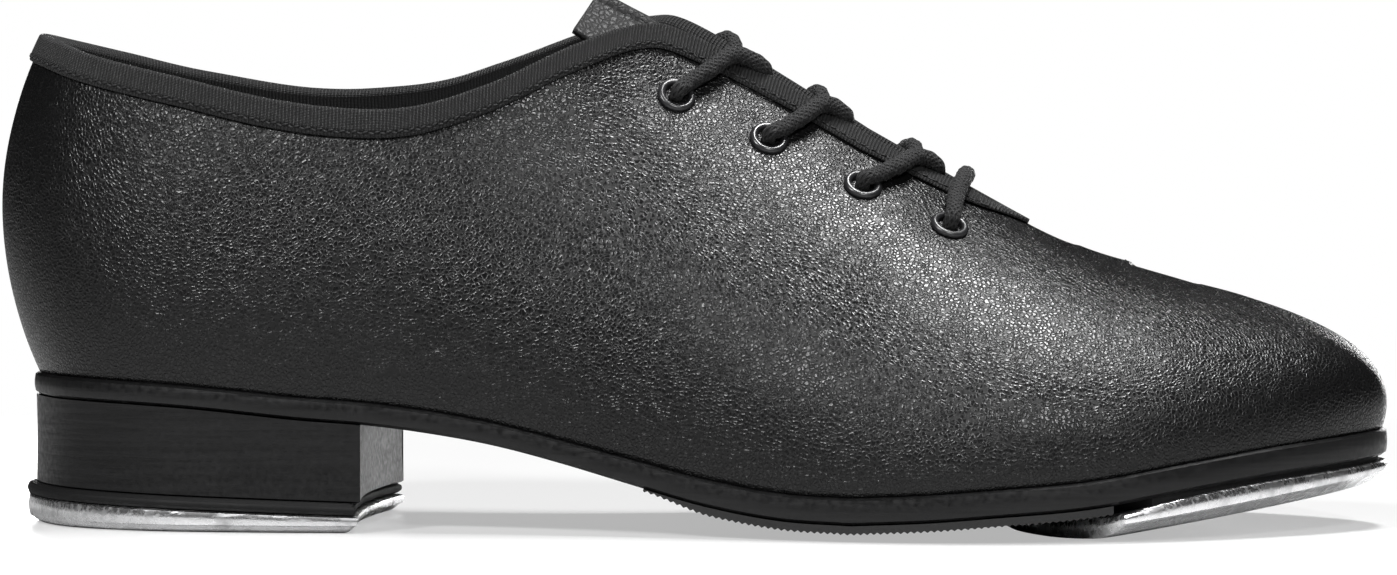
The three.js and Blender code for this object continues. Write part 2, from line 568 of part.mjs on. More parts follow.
// The heel: its underside slopes a little, because the tap is thicker at the back.
const HEEL_BACK = BACK_ROW[0] * grade.x;
const BREAST = HEEL_BACK + HEEL_LENGTH;
const heelSlope = (HEEL_TAP_BACK - HEEL_TAP_FRONT) / HEEL_LENGTH;
const tapTop = (x) => HEEL_TAP_BACK - heelSlope * (x - HEEL_BACK);
const padTop = (x) => tapTop(x) + GAP + HEEL_PAD;
const BREAST_HOLLOW = 2.5; // the breast curves in this far at its middle
function heelPlan(back) {
  const front = evenly(-1, 1, 12).map((across) =>
    [BREAST - back - BREAST_HOLLOW * (1 - across * across), across * BALL_WIDTH / 2]);
  return planPrism([[-DEEP / 2, -BALL_WIDTH / 2], ...front, [-DEEP / 2, BALL_WIDTH / 2]]);
}
const heelBlock = bottomLayer(SOLE_MARGIN - 0.2, (x) => padTop(x) + GAP,
  (x) => underside(x) - GAP, 0, 7).intersect(heelPlan(0));
const PAD_LIP = 1.5; // the pad stands this far out of the sole's edge
const heelPad = bottomLayer(SOLE_MARGIN + PAD_LIP, (x) => tapTop(x) + GAP, padTop, 0, 7).intersect(heelPlan(1));
const heelTap = bottomLayer(SOLE_MARGIN + HEEL_TAP_MARGIN, () => 0, tapTop, 0, 7).intersect(heelPlan(0.5));

// Screws: a countersunk head flush with the tap, and a shank up into the sole or heel.
const screwPlaces = [
  ["toe_tap_screw_lateral", 80, -29], ["toe_tap_screw_medial", 81, 31], ["toe_tap_screw_front", 122, 4],
  ["heel_tap_screw_lateral", -80, -20], ["heel_tap_screw_medial", -80, 19], ["heel_tap_screw_back", -120, 0],
];
const HEAD_HEIGHT = 1.9;
const screws = screwPlaces.map(([name, x, y]) => {
  const at = x * grade.x;
  const slope = x > 0 ? tapUnder(at + 0.5) - tapUnder(at - 0.5) : 0;
  const up = vec(-slope, 0, 1).normalize();
  const place = vec(at, y * grade.y, x > 0 ? tapUnder(at) : 0).addScaledVector(up, 0.25);
  return { name, place, up, turn: new THREE.Quaternion().setFromUnitVectors(vec(0, 0, 1), up) };
});
function turned(points, segments) {
  const profile = points.map(([r, z]) => new THREE.Vector2(r, z));
  return new THREE.LatheGeometry(profile, segments).rotateX(Math.PI / 2);
}
function screwShape(grow) {
  const [head, shank, end] = [SCREW_HEAD + grow, SCREW_SHANK + grow, SCREW_LENGTH + 3 * grow];
  const points = [[0, -grow], [head, -grow], [head, 0.3], [shank, HEAD_HEIGHT + 0.6 * grow]];
  return [...points, [shank, end - 1.5], [0, end]];
}
const grip = (clearance) => screws.map(({ place, turn }) =>
  solidOf(turned(screwShape(clearance), 12), new THREE.Matrix4().compose(place, turn, vec(1, 1, 1))));
const drilled = (solid) => grip(GAP).reduce((s, hole) => s.subtract(hole), solid);
// A countersink that opens right through the tap's underside.
function countersunk(solid) {
  const mouths = screws.map(({ place, turn }) => {
    const mouth = new THREE.CylinderGeometry(SCREW_HEAD + GAP, SCREW_HEAD + GAP, 3, 12);
    mouth.rotateX(Math.PI / 2).translate(0, 0, -1.3);
    return solidOf(mouth, new THREE.Matrix4().compose(place, turn, vec(1, 1, 1)));
  });
  return mouths.reduce((s, mouth) => s.subtract(mouth), drilled(solid));
}

// Heel nails, driven from inside the shoe through board and outsole into the heel.
const NAIL_PLACES = [[-122, 0], [-110, -15], [-110, 15], [-86, -17], [-86, 17]];
const NAIL_REACH = 9; // into the heel block
const nails = NAIL_PLACES.map(([x, y], i) => {
  const at = x * grade.x;
  const foot = underside(at) - NAIL_REACH;
  return { name: `heel_nail_${i + 1}`, place: vec(at, y * grade.y, foot), length: boardTop(at) + GAP - foot };
});
function nailed(solid) {
  return nails.reduce((s, { place, length }) => {
    const hole = turned([[0, -1], [NAIL + GAP, -1], [NAIL + GAP, length + 2], [0, length + 2]], 8);
    return s.subtract(solidOf(hole.translate(...place.toArray())));
  }, solid);
}

const both = (name, rearName, frontName, solid, look) => {
  add(rearName, geometryOf(solid.intersect(behind)), look);
  add(frontName, geometryOf(solid.intersect(ahead)), look);
};
both("board", "insole_board_rear", "insole_board_front", nailed(board), looks.board);
both("liner", "sock_liner_rear", "sock_liner_front", liner, looks.lining);
both("filler", "cork_filler_rear", "cork_filler_front", filler, looks.cork);
add("steel_shank", geometryOf(shank), looks.steel);
both("outsole", "outsole_rear", "outsole_front", nailed(drilled(outsole)), looks.sole);
both("tread", "ball_tread_rear", "ball_tread_front", tread, looks.rubber);
add("toe_soundboard", geometryOf(drilled(soundboard)), looks.fibre);
add("toe_tap", geometryOf(countersunk(tapPlate)), looks.tap);
add("heel_block", geometryOf(nailed(drilled(heelBlock))), looks.sole);
add("heel_pad", geometryOf(drilled(heelPad)), looks.fibre);
add("heel_tap", geometryOf(countersunk(heelTap)), looks.tap);

const CROSS = { width: 0.9, span: 3.4, depth: 1.1 };
for (const { name, place, turn } of screws) {
  const slots = [[CROSS.span, CROSS.width], [CROSS.width, CROSS.span]].map(([w, d]) =>
    solidOf(new THREE.BoxGeometry(w, d, 2 * CROSS.depth)));
  const screw = solidOf(turned(screwShape(0), 14)).subtract(slots[0].add(slots[1]));
  const mesh = add(name, geometryOf(screw), looks.steel);
  mesh.position.copy(place);
  mesh.quaternion.copy(turn);
}
for (const { name, place, length } of nails) {
  const head = 2.2 * NAIL;
  const profile = [[0, 0], [NAIL, 2], [NAIL, length], [head, length], [head, length + 0.7], [0, length + 0.7]];
  add(name, turned(profile, 8), looks.steel).position.copy(place);
}

// ---- Eyelets ----

const STACK = liningFar(THROAT - 2, 0.87) + GAP;
const INNER_FLANGE = 3.6;
for (const { name, place, turn } of eyelets) {
  const [bore, tube] = [EYELET_BORE, EYELET_BORE + BARREL];
  const ring = [
    [bore, 0.6], [bore, -STACK - GAP - 0.5], [INNER_FLANGE, -STACK - GAP - 0.5],
    [INNER_FLANGE, -STACK - GAP], [tube, -STACK - GAP], [tube, GAP], [EYELET_FLANGE, GAP],
    [EYELET_FLANGE - 0.2, GAP + 0.5], [tube + 0.3, GAP + 0.9], [bore, 0.6],
  ];
  const mesh = add(name, turned(ring, 14), looks.eyelet);
  mesh.position.copy(place);
  mesh.quaternion.copy(turn);
}

// ---- Tongue: an arched flap under the facings, whose tip stands above them and folds ----

const INNER_MOUTH = STACK + GAP + 0.5; // depth of the eyelets' inner faces
const LACE_DEPTH = INNER_MOUTH + GAP + LACE_PULLED / 2; // of the runs under the facings
const TONGUE_SLACK = 1.4; // room between the lace and the tongue
const TONGUE_DEPTH = LACE_DEPTH + LACE_PULLED / 2 + TONGUE_SLACK;
const TONGUE_BASE_RIB = 12;
const TONGUE_TOP_RIB = 9.3; // above this rib the flap stands free
const TONGUE_EDGE = 0.7; // height of its side edges on the wall
const TONGUE_CREST = 0.93; // the arch bridges from here on one side to here on the other
const BRIDGE = 0.3; // share of the tongue's half width that the bridge takes
const TONGUE_TAPER = 0.2; // the tip's end is narrower by this share
const NECK_RISE = vec(-0.62 * grade.x, 0, 0.785);
const TIP_RISE = vec(-0.887, 0, 0.461);

function tongueArch(u, depth, across) {
  const q = Math.abs(across);
  const sign = Math.sign(across) || 1;
  if (q > BRIDGE) {
    return skin(sign * u, mix(TONGUE_CREST, TONGUE_EDGE, (q - BRIDGE) / (1 - BRIDGE)), depth);
  }
  const [p, r] = [skin(u, TONGUE_CREST, depth), skin(-u, TONGUE_CREST, depth)];
  const crest = p.clone().lerp(r, 0.5);
  crest.z += 0.22 * p.distanceTo(r);
  const share = q / BRIDGE;
  return crest.lerp(sign > 0 ? p : r, share).add(vec(0, 0, 0.2 * p.distanceTo(r) * share * (1 - share)));
}
// The free part rises steeply out of the opening and then bends back over it.
// Its end and its fold lie square to the tip.
function tongueFree(depth, length, across) {
  const narrowed = across * (1 - TONGUE_TAPER * length / (TONGUE_NECK + TONGUE_TIP));
  const start = tongueArch(TONGUE_TOP_RIB, depth, narrowed);
  const neck = Math.min(length, TONGUE_NECK);
  const square = tongueArch(TONGUE_TOP_RIB, TONGUE_DEPTH, 0).addScaledVector(NECK_RISE, neck);
  const travel = square.sub(start).dot(TIP_RISE) / NECK_RISE.dot(TIP_RISE);
  return start.addScaledVector(NECK_RISE, travel).addScaledVector(TIP_RISE, length - neck);
}
const ACROSS = evenly(1, -1, 14);
const FOLD_LENGTH = TONGUE_NECK + TONGUE_FOLD;
// Rows of the held part: ribs down to the top one, and then lengths past it.
const heldFace = (depth) => (row, across) => (row >= TONGUE_TOP_RIB
  ? tongueArch(row, depth, across) : tongueFree(depth, TONGUE_TOP_RIB - row, across));
const tipFace = (depth) => (length, across) => tongueFree(depth, length, across);
const tongueInner = TONGUE_DEPTH + TONGUE;
const heldRows = [
  TONGUE_BASE_RIB, 11.5, 11, 10.5, 10, 9.65, TONGUE_TOP_RIB,
  TONGUE_TOP_RIB - TONGUE_NECK, TONGUE_TOP_RIB - FOLD_LENGTH + FOLD_GAP / 2,
];
const heldTongue = between(heldFace(TONGUE_DEPTH), heldFace(tongueInner), heldRows, ACROSS);
const tip = between(tipFace(TONGUE_DEPTH), tipFace(tongueInner),
  evenly(FOLD_LENGTH + FOLD_GAP / 2, TONGUE_NECK + TONGUE_TIP, 2), evenly(1, -1, 15));
add("tongue_tip", geometryOf(tip), looks.upper);

// ---- Lace: up both sides crosswise, with its ends tucked in between tongue and lining ----
// Each strand goes into an eyelet from outside and comes up between the facings to the other side.

const eyelet = (side, row) => eyelets[2 * (row - 1) + (side > 0 ? 0 : 1)];
const OVER_BINDING = 1.3 * GAP + BINDING + GAP + LACE / 2;
const SLIT_DEPTH = 3.6 - LACE / 2; // of a strand's centre below the ridge line where it comes up
const BROW_REACH = LACE - 2.2; // a strand starts to drop this far past the facing's edge
const COMES_UP = [[0.93, 0.58], [0.74, 0.42], [0.74, 0.42]]; // where, from one row to the next

// A strand from the outside of one eyelet to the inside of the next one on the other side.
function strand(side, row) {
  const [from, to] = [eyelet(side, row), eyelet(-side, row + 1)];
  const along = (share) => mix(Math.abs(from.u), Math.abs(to.u), share);
  const up = COMES_UP[row - 1][side > 0 ? 0 : 1];
  const slit = surface(along(up), 1).lerp(surface(-along(up), 1), 0.5);
  const lift = outward(along(up), 1).add(outward(-along(up), 1)).normalize();
  const brow = skin(side * along(0.85 * up), 1, -OVER_BINDING + 0.6);
  brow.addScaledVector(slit.clone().sub(surface(side * along(0.85 * up), 1)).normalize(), BROW_REACH);
  const rim = skin(-side * along(up + 0.08), 0.99, LACE_DEPTH + 0.2);
  return [
    [from.place.clone().addScaledVector(from.out, 2.7), 0.9 * LACE],
    [skin(side * along(0.4 * up), 0.9, -OVER_BINDING), LACE],
    [skin(side * along(0.62 * up), 0.985, -OVER_BINDING - 0.2), LACE],
    [brow, 0.9 * LACE],
    [slit.clone().addScaledVector(lift, -SLIT_DEPTH), LACE_PULLED],
    [rim.lerp(slit.addScaledVector(lift, -LACE_DEPTH), 0.45), LACE_PULLED],
    [skin(-side * along(up + 0.16), 0.93, LACE_DEPTH), LACE_PULLED],
    [to.place.clone().addScaledVector(to.out, -LACE_DEPTH), LACE_PULLED],
    [to.place.clone().addScaledVector(to.out, -1), LACE_PULLED],
  ];
}
function tail(side) {
  const top = eyelet(side, 1);
  return [
    [skin(side * 8, 0.53, LACE_DEPTH), LACE_PULLED],
    [skin(side * 8.4, 0.66, LACE_DEPTH), LACE_PULLED],
    [top.place.clone().addScaledVector(top.out, -LACE_DEPTH), LACE_PULLED],
    [top.place.clone().addScaledVector(top.out, -1), LACE_PULLED],
  ];
}
// The bar straight across below the lowest crossing.
function bar() {
  const [near, far] = [eyelet(1, EYELET_PAIRS), eyelet(-1, EYELET_PAIRS)];
  const over = (side, v, depth) => skin(side * Math.abs(near.u), v, -depth);
  return [
    [far.place.clone().addScaledVector(far.out, 2.7), 0.9 * LACE],
    [over(-1, 0.9, OVER_BINDING), LACE], [over(-1, 0.99, OVER_BINDING + 0.2), LACE],
    [over(1, 0.99, OVER_BINDING + 0.2), LACE], [over(1, 0.9, OVER_BINDING), LACE],
    [near.place.clone().addScaledVector(near.out, 2.7), 0.9 * LACE],
  ];
}
// From one tail down to the bar, starting on the side given.
function halfLacing(side) {
  const strands = Array.from({ length: EYELET_PAIRS - 1 }, (_, i) => strand(side * (-1) ** i, i + 1));
  return [...tail(side), ...strands.flat()];
}
const route = [...halfLacing(1), ...bar(), ...halfLacing(-1).toReversed()];

function tube(points, stepLength, sides, grow = 0) {
  const curve = new THREE.CatmullRomCurve3(points.map(([p]) => p), false, "centripetal");
  const spans = points.length - 1;
  const marks = [0];
  for (let i = 0; i < spans; i++) {
    const steps = Math.max(1, Math.round(points[i][0].distanceTo(points[i + 1][0]) / stepLength));
    for (let k = 1; k <= steps; k++) marks.push((i + k / steps) / spans);
  }
  let across = vec(0.3, 0.9, 0.1);
  return swept(marks.map((t) => {
    const along = curve.getTangent(t);
    across = across.addScaledVector(along, -across.dot(along)).normalize();
    const up = along.clone().cross(across);
    const i = Math.min(Math.floor(t * spans), spans - 1);
    const radius = mix(points[i][1], points[i + 1][1], t * spans - i) / 2 + grow;
    return evenly(0, 2 - 2 / sides, sides - 1).map((turn) =>
      curve.getPoint(t).addScaledVector(across, radius * Math.cos(Math.PI * turn))
        .addScaledVector(up, radius * Math.sin(Math.PI * turn)));
  }));
}
add("lace", geometryOf(tube(route, 5, 8)), looks.lace);
// The pulled lace presses shallow grooves into the binding and the tongue.
const laceRoom = tube(route, 5, 8, GAP);
add("topline_binding", geometryOf(binding.subtract(laceRoom)), looks.binding);
add("tongue", geometryOf(heldTongue.subtract(laceRoom)), looks.upper);
for (const [name, side] of [["lateral", 1], ["medial", -1]]) {
  const end = tail(side)[0][0];
  const down = skin(side * 7.6, 0.25, LACE_DEPTH + 4.5).sub(end).normalize();
  const first = end.clone().addScaledVector(down, 3 * GAP);
  const last = first.clone().addScaledVector(down, AGLET_LENGTH);
  add(`lace_aglet_${name}`, geometryOf(tube([[first, 2 * AGLET], [last, 2 * AGLET]], 30, 8)), looks.aglet);
}

const box = new THREE.Box3().setFromObject(shoe);
shoe.position.set(-(box.min.x + box.max.x) / 2, -(box.min.y + box.max.y) / 2, -box.min.z);

export default shoe;
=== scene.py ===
"""A laced tap shoe for the right foot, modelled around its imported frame.

+X runs from heel to toe, +Y to the inner side of the foot, +Z up. Shapes are worked out in millimetres
and turned into metres when a mesh is made.
"""
import json
import math

import bmesh
import bpy
import numpy as np
from bpy.props import FloatProperty, FloatVectorProperty, PointerProperty
from bpy.types import Operator, Panel, PropertyGroup
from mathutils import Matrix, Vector


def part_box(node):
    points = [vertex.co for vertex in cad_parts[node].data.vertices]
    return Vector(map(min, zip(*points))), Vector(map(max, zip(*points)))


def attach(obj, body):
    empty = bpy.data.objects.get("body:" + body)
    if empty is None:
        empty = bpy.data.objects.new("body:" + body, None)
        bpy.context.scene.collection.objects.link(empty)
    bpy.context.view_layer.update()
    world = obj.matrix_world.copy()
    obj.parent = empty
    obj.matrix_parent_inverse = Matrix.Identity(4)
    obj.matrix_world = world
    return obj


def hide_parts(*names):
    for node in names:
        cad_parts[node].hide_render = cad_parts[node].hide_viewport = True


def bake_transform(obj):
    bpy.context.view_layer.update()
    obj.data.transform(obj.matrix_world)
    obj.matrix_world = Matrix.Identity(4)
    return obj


bl_info = {
    "name": "Tap Shoe",
    "version": (1, 0, 0),
    "blender": (4, 5, 0),
    "location": "3D View > Sidebar > Tap Shoe",
    "description": "Builds a leather tap shoe piece by piece around its frame",
    "category": "Add Mesh",
}

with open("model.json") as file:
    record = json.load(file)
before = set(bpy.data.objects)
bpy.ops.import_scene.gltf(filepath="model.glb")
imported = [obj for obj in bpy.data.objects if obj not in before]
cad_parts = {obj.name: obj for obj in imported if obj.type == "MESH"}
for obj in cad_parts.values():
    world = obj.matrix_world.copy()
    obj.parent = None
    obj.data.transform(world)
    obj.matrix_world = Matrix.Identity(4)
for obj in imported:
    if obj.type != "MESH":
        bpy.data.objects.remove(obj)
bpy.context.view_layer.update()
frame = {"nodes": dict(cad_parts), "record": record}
MM = 0.001

# ---- The last: one row for each rib, as (feather x, feather y, top x, top y, height of the top above
# the sole, lower bulge, upper bulge, rise, drop) ----

RIBS = np.array([
    [-132.4, 0, -131.5, 0, 67.7, 10.4, 11.1, 0.33, 0.33],
    [-129, -12.5, -127.5, -10, 66.5, 8.5, 9, 0.33, 0.33],
    [-120, -23.5, -118, -18.5, 63.6, 6, 7, 0.33, 0.33],
    [-103, -31, -102, -24.5, 60.5, 4.5, 5.5, 0.33, 0.33],
    [-80, -33, -80, -27.5, 57.5, 3.5, 5, 0.35, 0.33],
    [-56, -32.5, -57, -27.5, 57.7, 3.5, 5, 0.35, 0.33],
    [-34, -33.5, -39, -24, 65, 4, 5.5, 0.37, 0.32],
    [-16, -35.5, -22, -16.5, 77, 4, 7, 0.4, 0.28],
    [-2, -38, -9, -7, 84.6, 4, 10, 0.42, 0.22],
    [10, -41, 1, -2.5, 84.5, 4, 14, 0.41, 0.2],
    [24, -45, 20, -1.5, 77.9, 4, 17, 0.4, 0.2],
    [40, -48.5, 44, -1.5, 63.9, 4, 22, 0.41, 0.14],
    [58, -50, 67.5, 0.5, 49.9, 4, 27, 0.42, 0.09],
    [76, -47.5, 78, 3, 44.2, 4, 28, 0.43, 0.06],
    [94, -41.5, 88, 3.4, 39.4, 3.5, 26, 0.45, 0.096],
    [111, -31.5, 95, 3.8, 36.1, 3.5, 23, 0.47, 0.12],
    [126, -18.5, 99.5, 4.2, 34, 4, 22, 0.5, 0.155],
    [135.5, -6, 101.5, 4.4, 33.2, 4.8, 22.5, 0.51, 0.185],
    [138.4, 4.5, 102.3, 4.5, 33, 5.1, 22.7, 0.51, 0.19],
    [136.5, 14, 101.5, 4.4, 33.2, 4.8, 22.5, 0.51, 0.185],
    [129.5, 24.5, 99.5, 4.2, 34, 4, 22, 0.5, 0.155],
    [116, 36, 95, 3.8, 36.1, 3.5, 23, 0.47, 0.12],
    [99, 45, 88, 3.4, 39.4, 3.5, 26, 0.45, 0.08],
    [80, 49, 78, 3, 44.2, 4, 28, 0.43, 0.02],
    [62, 47.5, 67.5, 1.8, 49.9, 4, 26, 0.42, 0.09],
    [45, 43, 44, 5.5, 64.7, 4, 22, 0.41, 0.14],
    [28, 37.5, 20, 5.5, 78.9, 4, 16, 0.4, 0.2],
    [12, 32, 0, 6.5, 87, 4, 12, 0.41, 0.2],
    [-2, 28.5, -10, 10.5, 86, 4, 8, 0.42, 0.22],
    [-16, 26, -23, 16.5, 79.5, 4, 6, 0.4, 0.28],
    [-34, 25.5, -40, 22, 69.7, 4.5, 5, 0.37, 0.32],
    [-56, 28, -57, 25, 62.6, 4.5, 5, 0.35, 0.33],
    [-80, 30.5, -80, 26, 59.7, 4, 5, 0.35, 0.33],
    [-103, 29.5, -102, 23.5, 61.2, 4.5, 5.5, 0.33, 0.33],
    [-120, 23, -118, 18, 64.4, 6, 7, 0.33, 0.33],
    [-129, 12.5, -127.5, 9.5, 66.6, 8.5, 9, 0.33, 0.33],
])
TOE = 18  # rib numbers: 0 at the heel, TOE at the toe, negative on the inner side
THROAT = 12  # rib at the front end of the lacing
# (x, share) pairs: how much of the heel's rise and of the toe's spring the seat has at x
WAIST = [
    [-134, 1], [-100, 0.94], [-74, 0.83], [-63, 0.793], [-52, 0.735], [-38, 0.63], [-23, 0.47],
    [-8, 0.295], [6, 0.14], [21, 0.03], [35, 0],
]
SPRING = [[35, 0], [50, 0.07], [62, 0.157], [81, 0.3], [99, 0.57], [117, 0.81], [138, 1]]
BALL_SEAT, HEEL_SEAT = 8.4, 30.2  # heights of the outsole's upper face
TOE_SPRING = 11.2
OUTSOLE = (5.2, 4.3)  # thickness at the ball, and from the waist back
GAP = 0.3  # left between the outsole and what lies against it
UPPER = 1.2  # thickness of the leather
LINING_DEPTH = 3.4  # of the lining under the leather's outer face
EDGE = 0.985  # height on the last at which the walls end inside the binding
EYELET_RIBS = [8.82, 9.9, 10.72, 11.42]
EYELET_SETBACKS = [15, 15, 15, 16.8]  # from the facing's edge, from the top row down
BREAST = -62.4  # x of the heel's front face
TAP_BACK, TAP_CURVE = 63.5, 55.5  # x of the toe tap's back edge, and the radius of its curve
TREAD_BACK = -6  # x of the rubber's straight back edge
BINDING_WIDTH = 5.2
STITCH_ROW = 4.25  # from the top line to the stitching, on a binding of that width

shank_low, shank_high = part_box("steel_shank")
SHIFT = np.array([shank_low.x / MM + 98, (shank_low.y + shank_high.y) / 2 / MM, 0])


def mix(a, b, t):
    """A straight blend from a to b."""
    return a + (b - a) * t


def smooth(a, b, x):
    """0 below a, 1 above b, and 3t² - 2t³ between them."""
    t = np.clip((np.asarray(x, float) - a) / (b - a), 0, 1)
    return t * t * (3 - 2 * t)


def unit(v):
    """Vectors divided by their lengths."""
    return v / np.maximum(np.linalg.norm(v, axis=-1, keepdims=True), 1e-9)


def through(pairs):
    """A smooth curve through (x, value) pairs: cubic pieces whose slopes come from the neighbours."""
    px, py = np.array(pairs, float).T
    before = np.maximum(np.arange(len(px)) - 1, 0)
    after = np.minimum(np.arange(len(px)) + 1, len(px) - 1)
    slope = (py[after] - py[before]) / (px[after] - px[before])

    def at(x):
        i = np.clip(np.searchsorted(px, x, side="right") - 1, 0, len(px) - 2)
        w = px[i + 1] - px[i]
        t = np.clip((x - px[i]) / w, 0, 1)
        hermite = py[i] * (2 * t**3 - 3 * t**2 + 1) + py[i + 1] * (3 * t**2 - 2 * t**3)
        return hermite + w * (slope[i] * (t**3 - 2 * t**2 + t) + slope[i + 1] * (t**3 - t**2))

    return at


waist, spring = through(WAIST), through(SPRING)


def seat(x):
    """Height of the outsole's upper face: ball height plus the waist's and the toe's rise."""
    return BALL_SEAT + (HEEL_SEAT - BALL_SEAT) * waist(x) + TOE_SPRING * spring(x)


def underside(x):
    """Height of the outsole's lower face: it thins from the ball to the waist."""
    return seat(x) - mix(OUTSOLE[1], OUTSOLE[0], smooth(-35, 12, x))


def rib(u):
    """The last's numbers between its ribs, by Catmull-Rom round the closed ring of rows."""
    i = np.floor(u).astype(int)
    t = (u - i)[..., None]
    a, b, c, d = (RIBS[(i + k) % len(RIBS)] for k in (-1, 0, 1, 2))
    return 0.5 * (2 * b + (c - a) * t + (2 * a - 5 * b + 4 * c - d) * t**2
                  + (3 * b - a - 3 * c + d) * t**3)


def feather(u, margin=0.0):
    """Plan places of the bottom edge at rib u, moved outwards by margin, and the outward direction."""
    u = np.asarray(u, float)
    here, step = rib(u)[..., :2], rib(u + 0.02)[..., :2] - rib(u - 0.02)[..., :2]
    along = unit(step)
    out = np.stack([along[..., 1], -along[..., 0]], -1)
    return here + out * margin, out


def surface(u, v):
    """The last's outer surface: each rib is a cubic from the bottom edge up to the top line or ridge,
    whose two inner control points stand out by the bulges at shares of the height."""
    u, v = np.broadcast_arrays(np.asarray(u, float), np.asarray(v, float))
    row = rib(u)
    plan, out = feather(u)
    foot = np.concatenate([plan, (seat(plan[..., 0]) + GAP)[..., None]], -1)
    top = np.stack([row[..., 2], row[..., 3], seat(row[..., 2]) + row[..., 4]], -1)
    height = top[..., 2] - foot[..., 2]
    a, b = foot.copy(), top.copy()
    a[..., :2] += out * row[..., 5:6]
    a[..., 2] = foot[..., 2] + row[..., 7] * height
    b[..., :2] += out * row[..., 6:7]
    b[..., 2] = top[..., 2] - row[..., 8] * height
    v = v[..., None]
    w = 1 - v
    return foot * w**3 + 3 * a * w * w * v + 3 * b * w * v * v + top * v**3


def steepest(u, v):
    """The surface's normal by central differences."""
    v = np.minimum(v, 0.98)
    along = surface(u + 0.01, v) - surface(u - 0.01, v)
    return unit(np.cross(along, surface(u, v + 0.01) - surface(u, v - 0.01)))


def outward(u, v):
    """The outward direction. In front of the throat both sides share one along the ridge."""
    u, v = np.broadcast_arrays(np.asarray(u, float), np.asarray(v, float))
    out = steepest(u, v)
    shared = smooth(0.75, 1, v) * smooth(THROAT - 0.3, THROAT + 0.3, np.abs(u))
    both = unit(out + steepest(-u, v))
    return unit(mix(out, both, shared[..., None]))


def skin(u, v, depth):
    """A point under the leather's outer face by depth, or over it with a negative one."""
    depth = np.asarray(depth, float)
    return surface(u, v) - outward(u, v) * depth[..., None]


# ---- Meshes ----


def quads_of(rows, columns, first=0):
    """Corner numbers of the faces of a grid."""
    i, j = np.meshgrid(np.arange(rows - 1), np.arange(columns - 1), indexing="ij")
    a = (first + i * columns + j).ravel()
    return np.stack([a, a + columns, a + columns + 1, a + 1], -1)


def make_piece(name, points, quads, look, uv=None, weld=0.0, closed=True, sharp=40):
    """A mesh object in the frame from millimetre points and quads. Points closer than weld are merged,
    and closed shells get their faces turned outwards."""
    mesh = bpy.data.meshes.new(name)
    places = (points.reshape(-1, 3) + SHIFT) * MM
    mesh.from_pydata(places.tolist(), [], quads.tolist())
    if uv is not None:
        layer = mesh.uv_layers.new(name="Along")
        layer.data.foreach_set("uv", uv.reshape(-1, 2)[quads.ravel()].astype(np.float32).ravel())
    shape = bmesh.new()
    shape.from_mesh(mesh)
    if weld:
        bmesh.ops.remove_doubles(shape, verts=shape.verts, dist=weld * MM)
    if closed:
        bmesh.ops.recalc_face_normals(shape, faces=shape.faces)
    shape.to_mesh(mesh)
    shape.free()
    mesh.shade_smooth()
    mesh.set_sharp_from_angle(angle=math.radians(sharp))
    mesh.materials.append(look)
    piece = bpy.data.objects.new(name, mesh)
    bpy.context.scene.collection.objects.link(piece)
    return piece


def thicken(piece, thickness):
    """Gives a sheet its wall, inwards from the face it shows."""
    wall = piece.modifiers.new("Wall", "SOLIDIFY")
    wall.thickness = thickness * MM
    wall.offset = -1
    wall.use_even_offset = True
    return piece


def bend_at_ball(piece):
    """Bakes the piece's placement into its mesh; the piece is not bent."""
    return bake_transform(piece)


def rim_of(plan):
    """The outline of a plan grid as one loop, without repeated places."""
    loop = np.concatenate([plan[:, 0], plan[-1, 1:], plan[-2::-1, -1], plan[0, -2:0:-1]])
    step = np.linalg.norm(loop - np.roll(loop, 1, axis=0), axis=1)
    return loop[step > 1e-4]


def inset_in(rim, places):
    """Distance in plan from each place to the nearest point of the rim."""
    flat = places.reshape(-1, 2)
    parts = [np.sqrt(((part[:, None] - rim[None]) ** 2).sum(-1)).min(1)
             for part in np.array_split(flat, max(1, len(flat) // 800))]
    return np.concatenate(parts).reshape(places.shape[:-1])


def slab(name, plan, under, over, look, bulge=0.0, rows=5, sharp=40):
    """A closed plate on a plan grid. Its two faces are heights that depend on the place and on the
    distance to the rim, and its wall joins their rims, standing out by bulge at mid height."""
    rim = rim_of(plan)
    inset = inset_in(rim, plan)
    faces = [np.dstack([plan, f(plan[..., 0], plan[..., 1], inset)]) for f in (over, under)]
    none = np.zeros(len(rim))
    ring = np.concatenate([rim, rim[:1]])
    tangent = np.roll(rim, -1, axis=0) - np.roll(rim, 1, axis=0)
    out = unit(np.stack([tangent[:, 1], -tangent[:, 0]], -1))
    area = (rim[:, 0] * np.roll(rim[:, 1], -1) - np.roll(rim[:, 0], -1) * rim[:, 1]).sum()
    out = np.concatenate([out, out[:1]]) * np.sign(area)
    high = over(rim[:, 0], rim[:, 1], none)
    low = under(rim[:, 0], rim[:, 1], none)
    share = np.linspace(0, 1, rows)[:, None, None]
    heights = mix(np.append(high, high[0])[None, :, None], np.append(low, low[0])[None, :, None], share)
    walls = ring[None] + out[None] * bulge * np.sin(np.pi * share)
    walls = np.concatenate([walls, heights], -1)
    n, m = plan.shape[:2]
    points = np.concatenate([faces[0].reshape(-1, 3), faces[1].reshape(-1, 3), walls.reshape(-1, 3)])
    quads = np.concatenate([quads_of(n, m), quads_of(n, m, n * m), quads_of(rows, len(ring), 2 * n * m)])
    return make_piece(name, points, quads, look, weld=0.004, sharp=sharp)


def ends_dense(count):
    """Shares from 0 to 1, closer together towards both ends."""
    return (1 - np.cos(np.linspace(0, np.pi, count))) / 2


def plan_between(near, far, across):
    """A plan grid whose rows run straight from the near outline to the far one."""
    return mix(near[:, None], far[:, None], across[None, :, None])


def whole_plan(margin, stations=260, across=40):
    """The plan of the whole sole."""
    u = ends_dense(stations) * TOE
    return plan_between(feather(u, margin)[0], feather(-u, margin)[0], ends_dense(across))


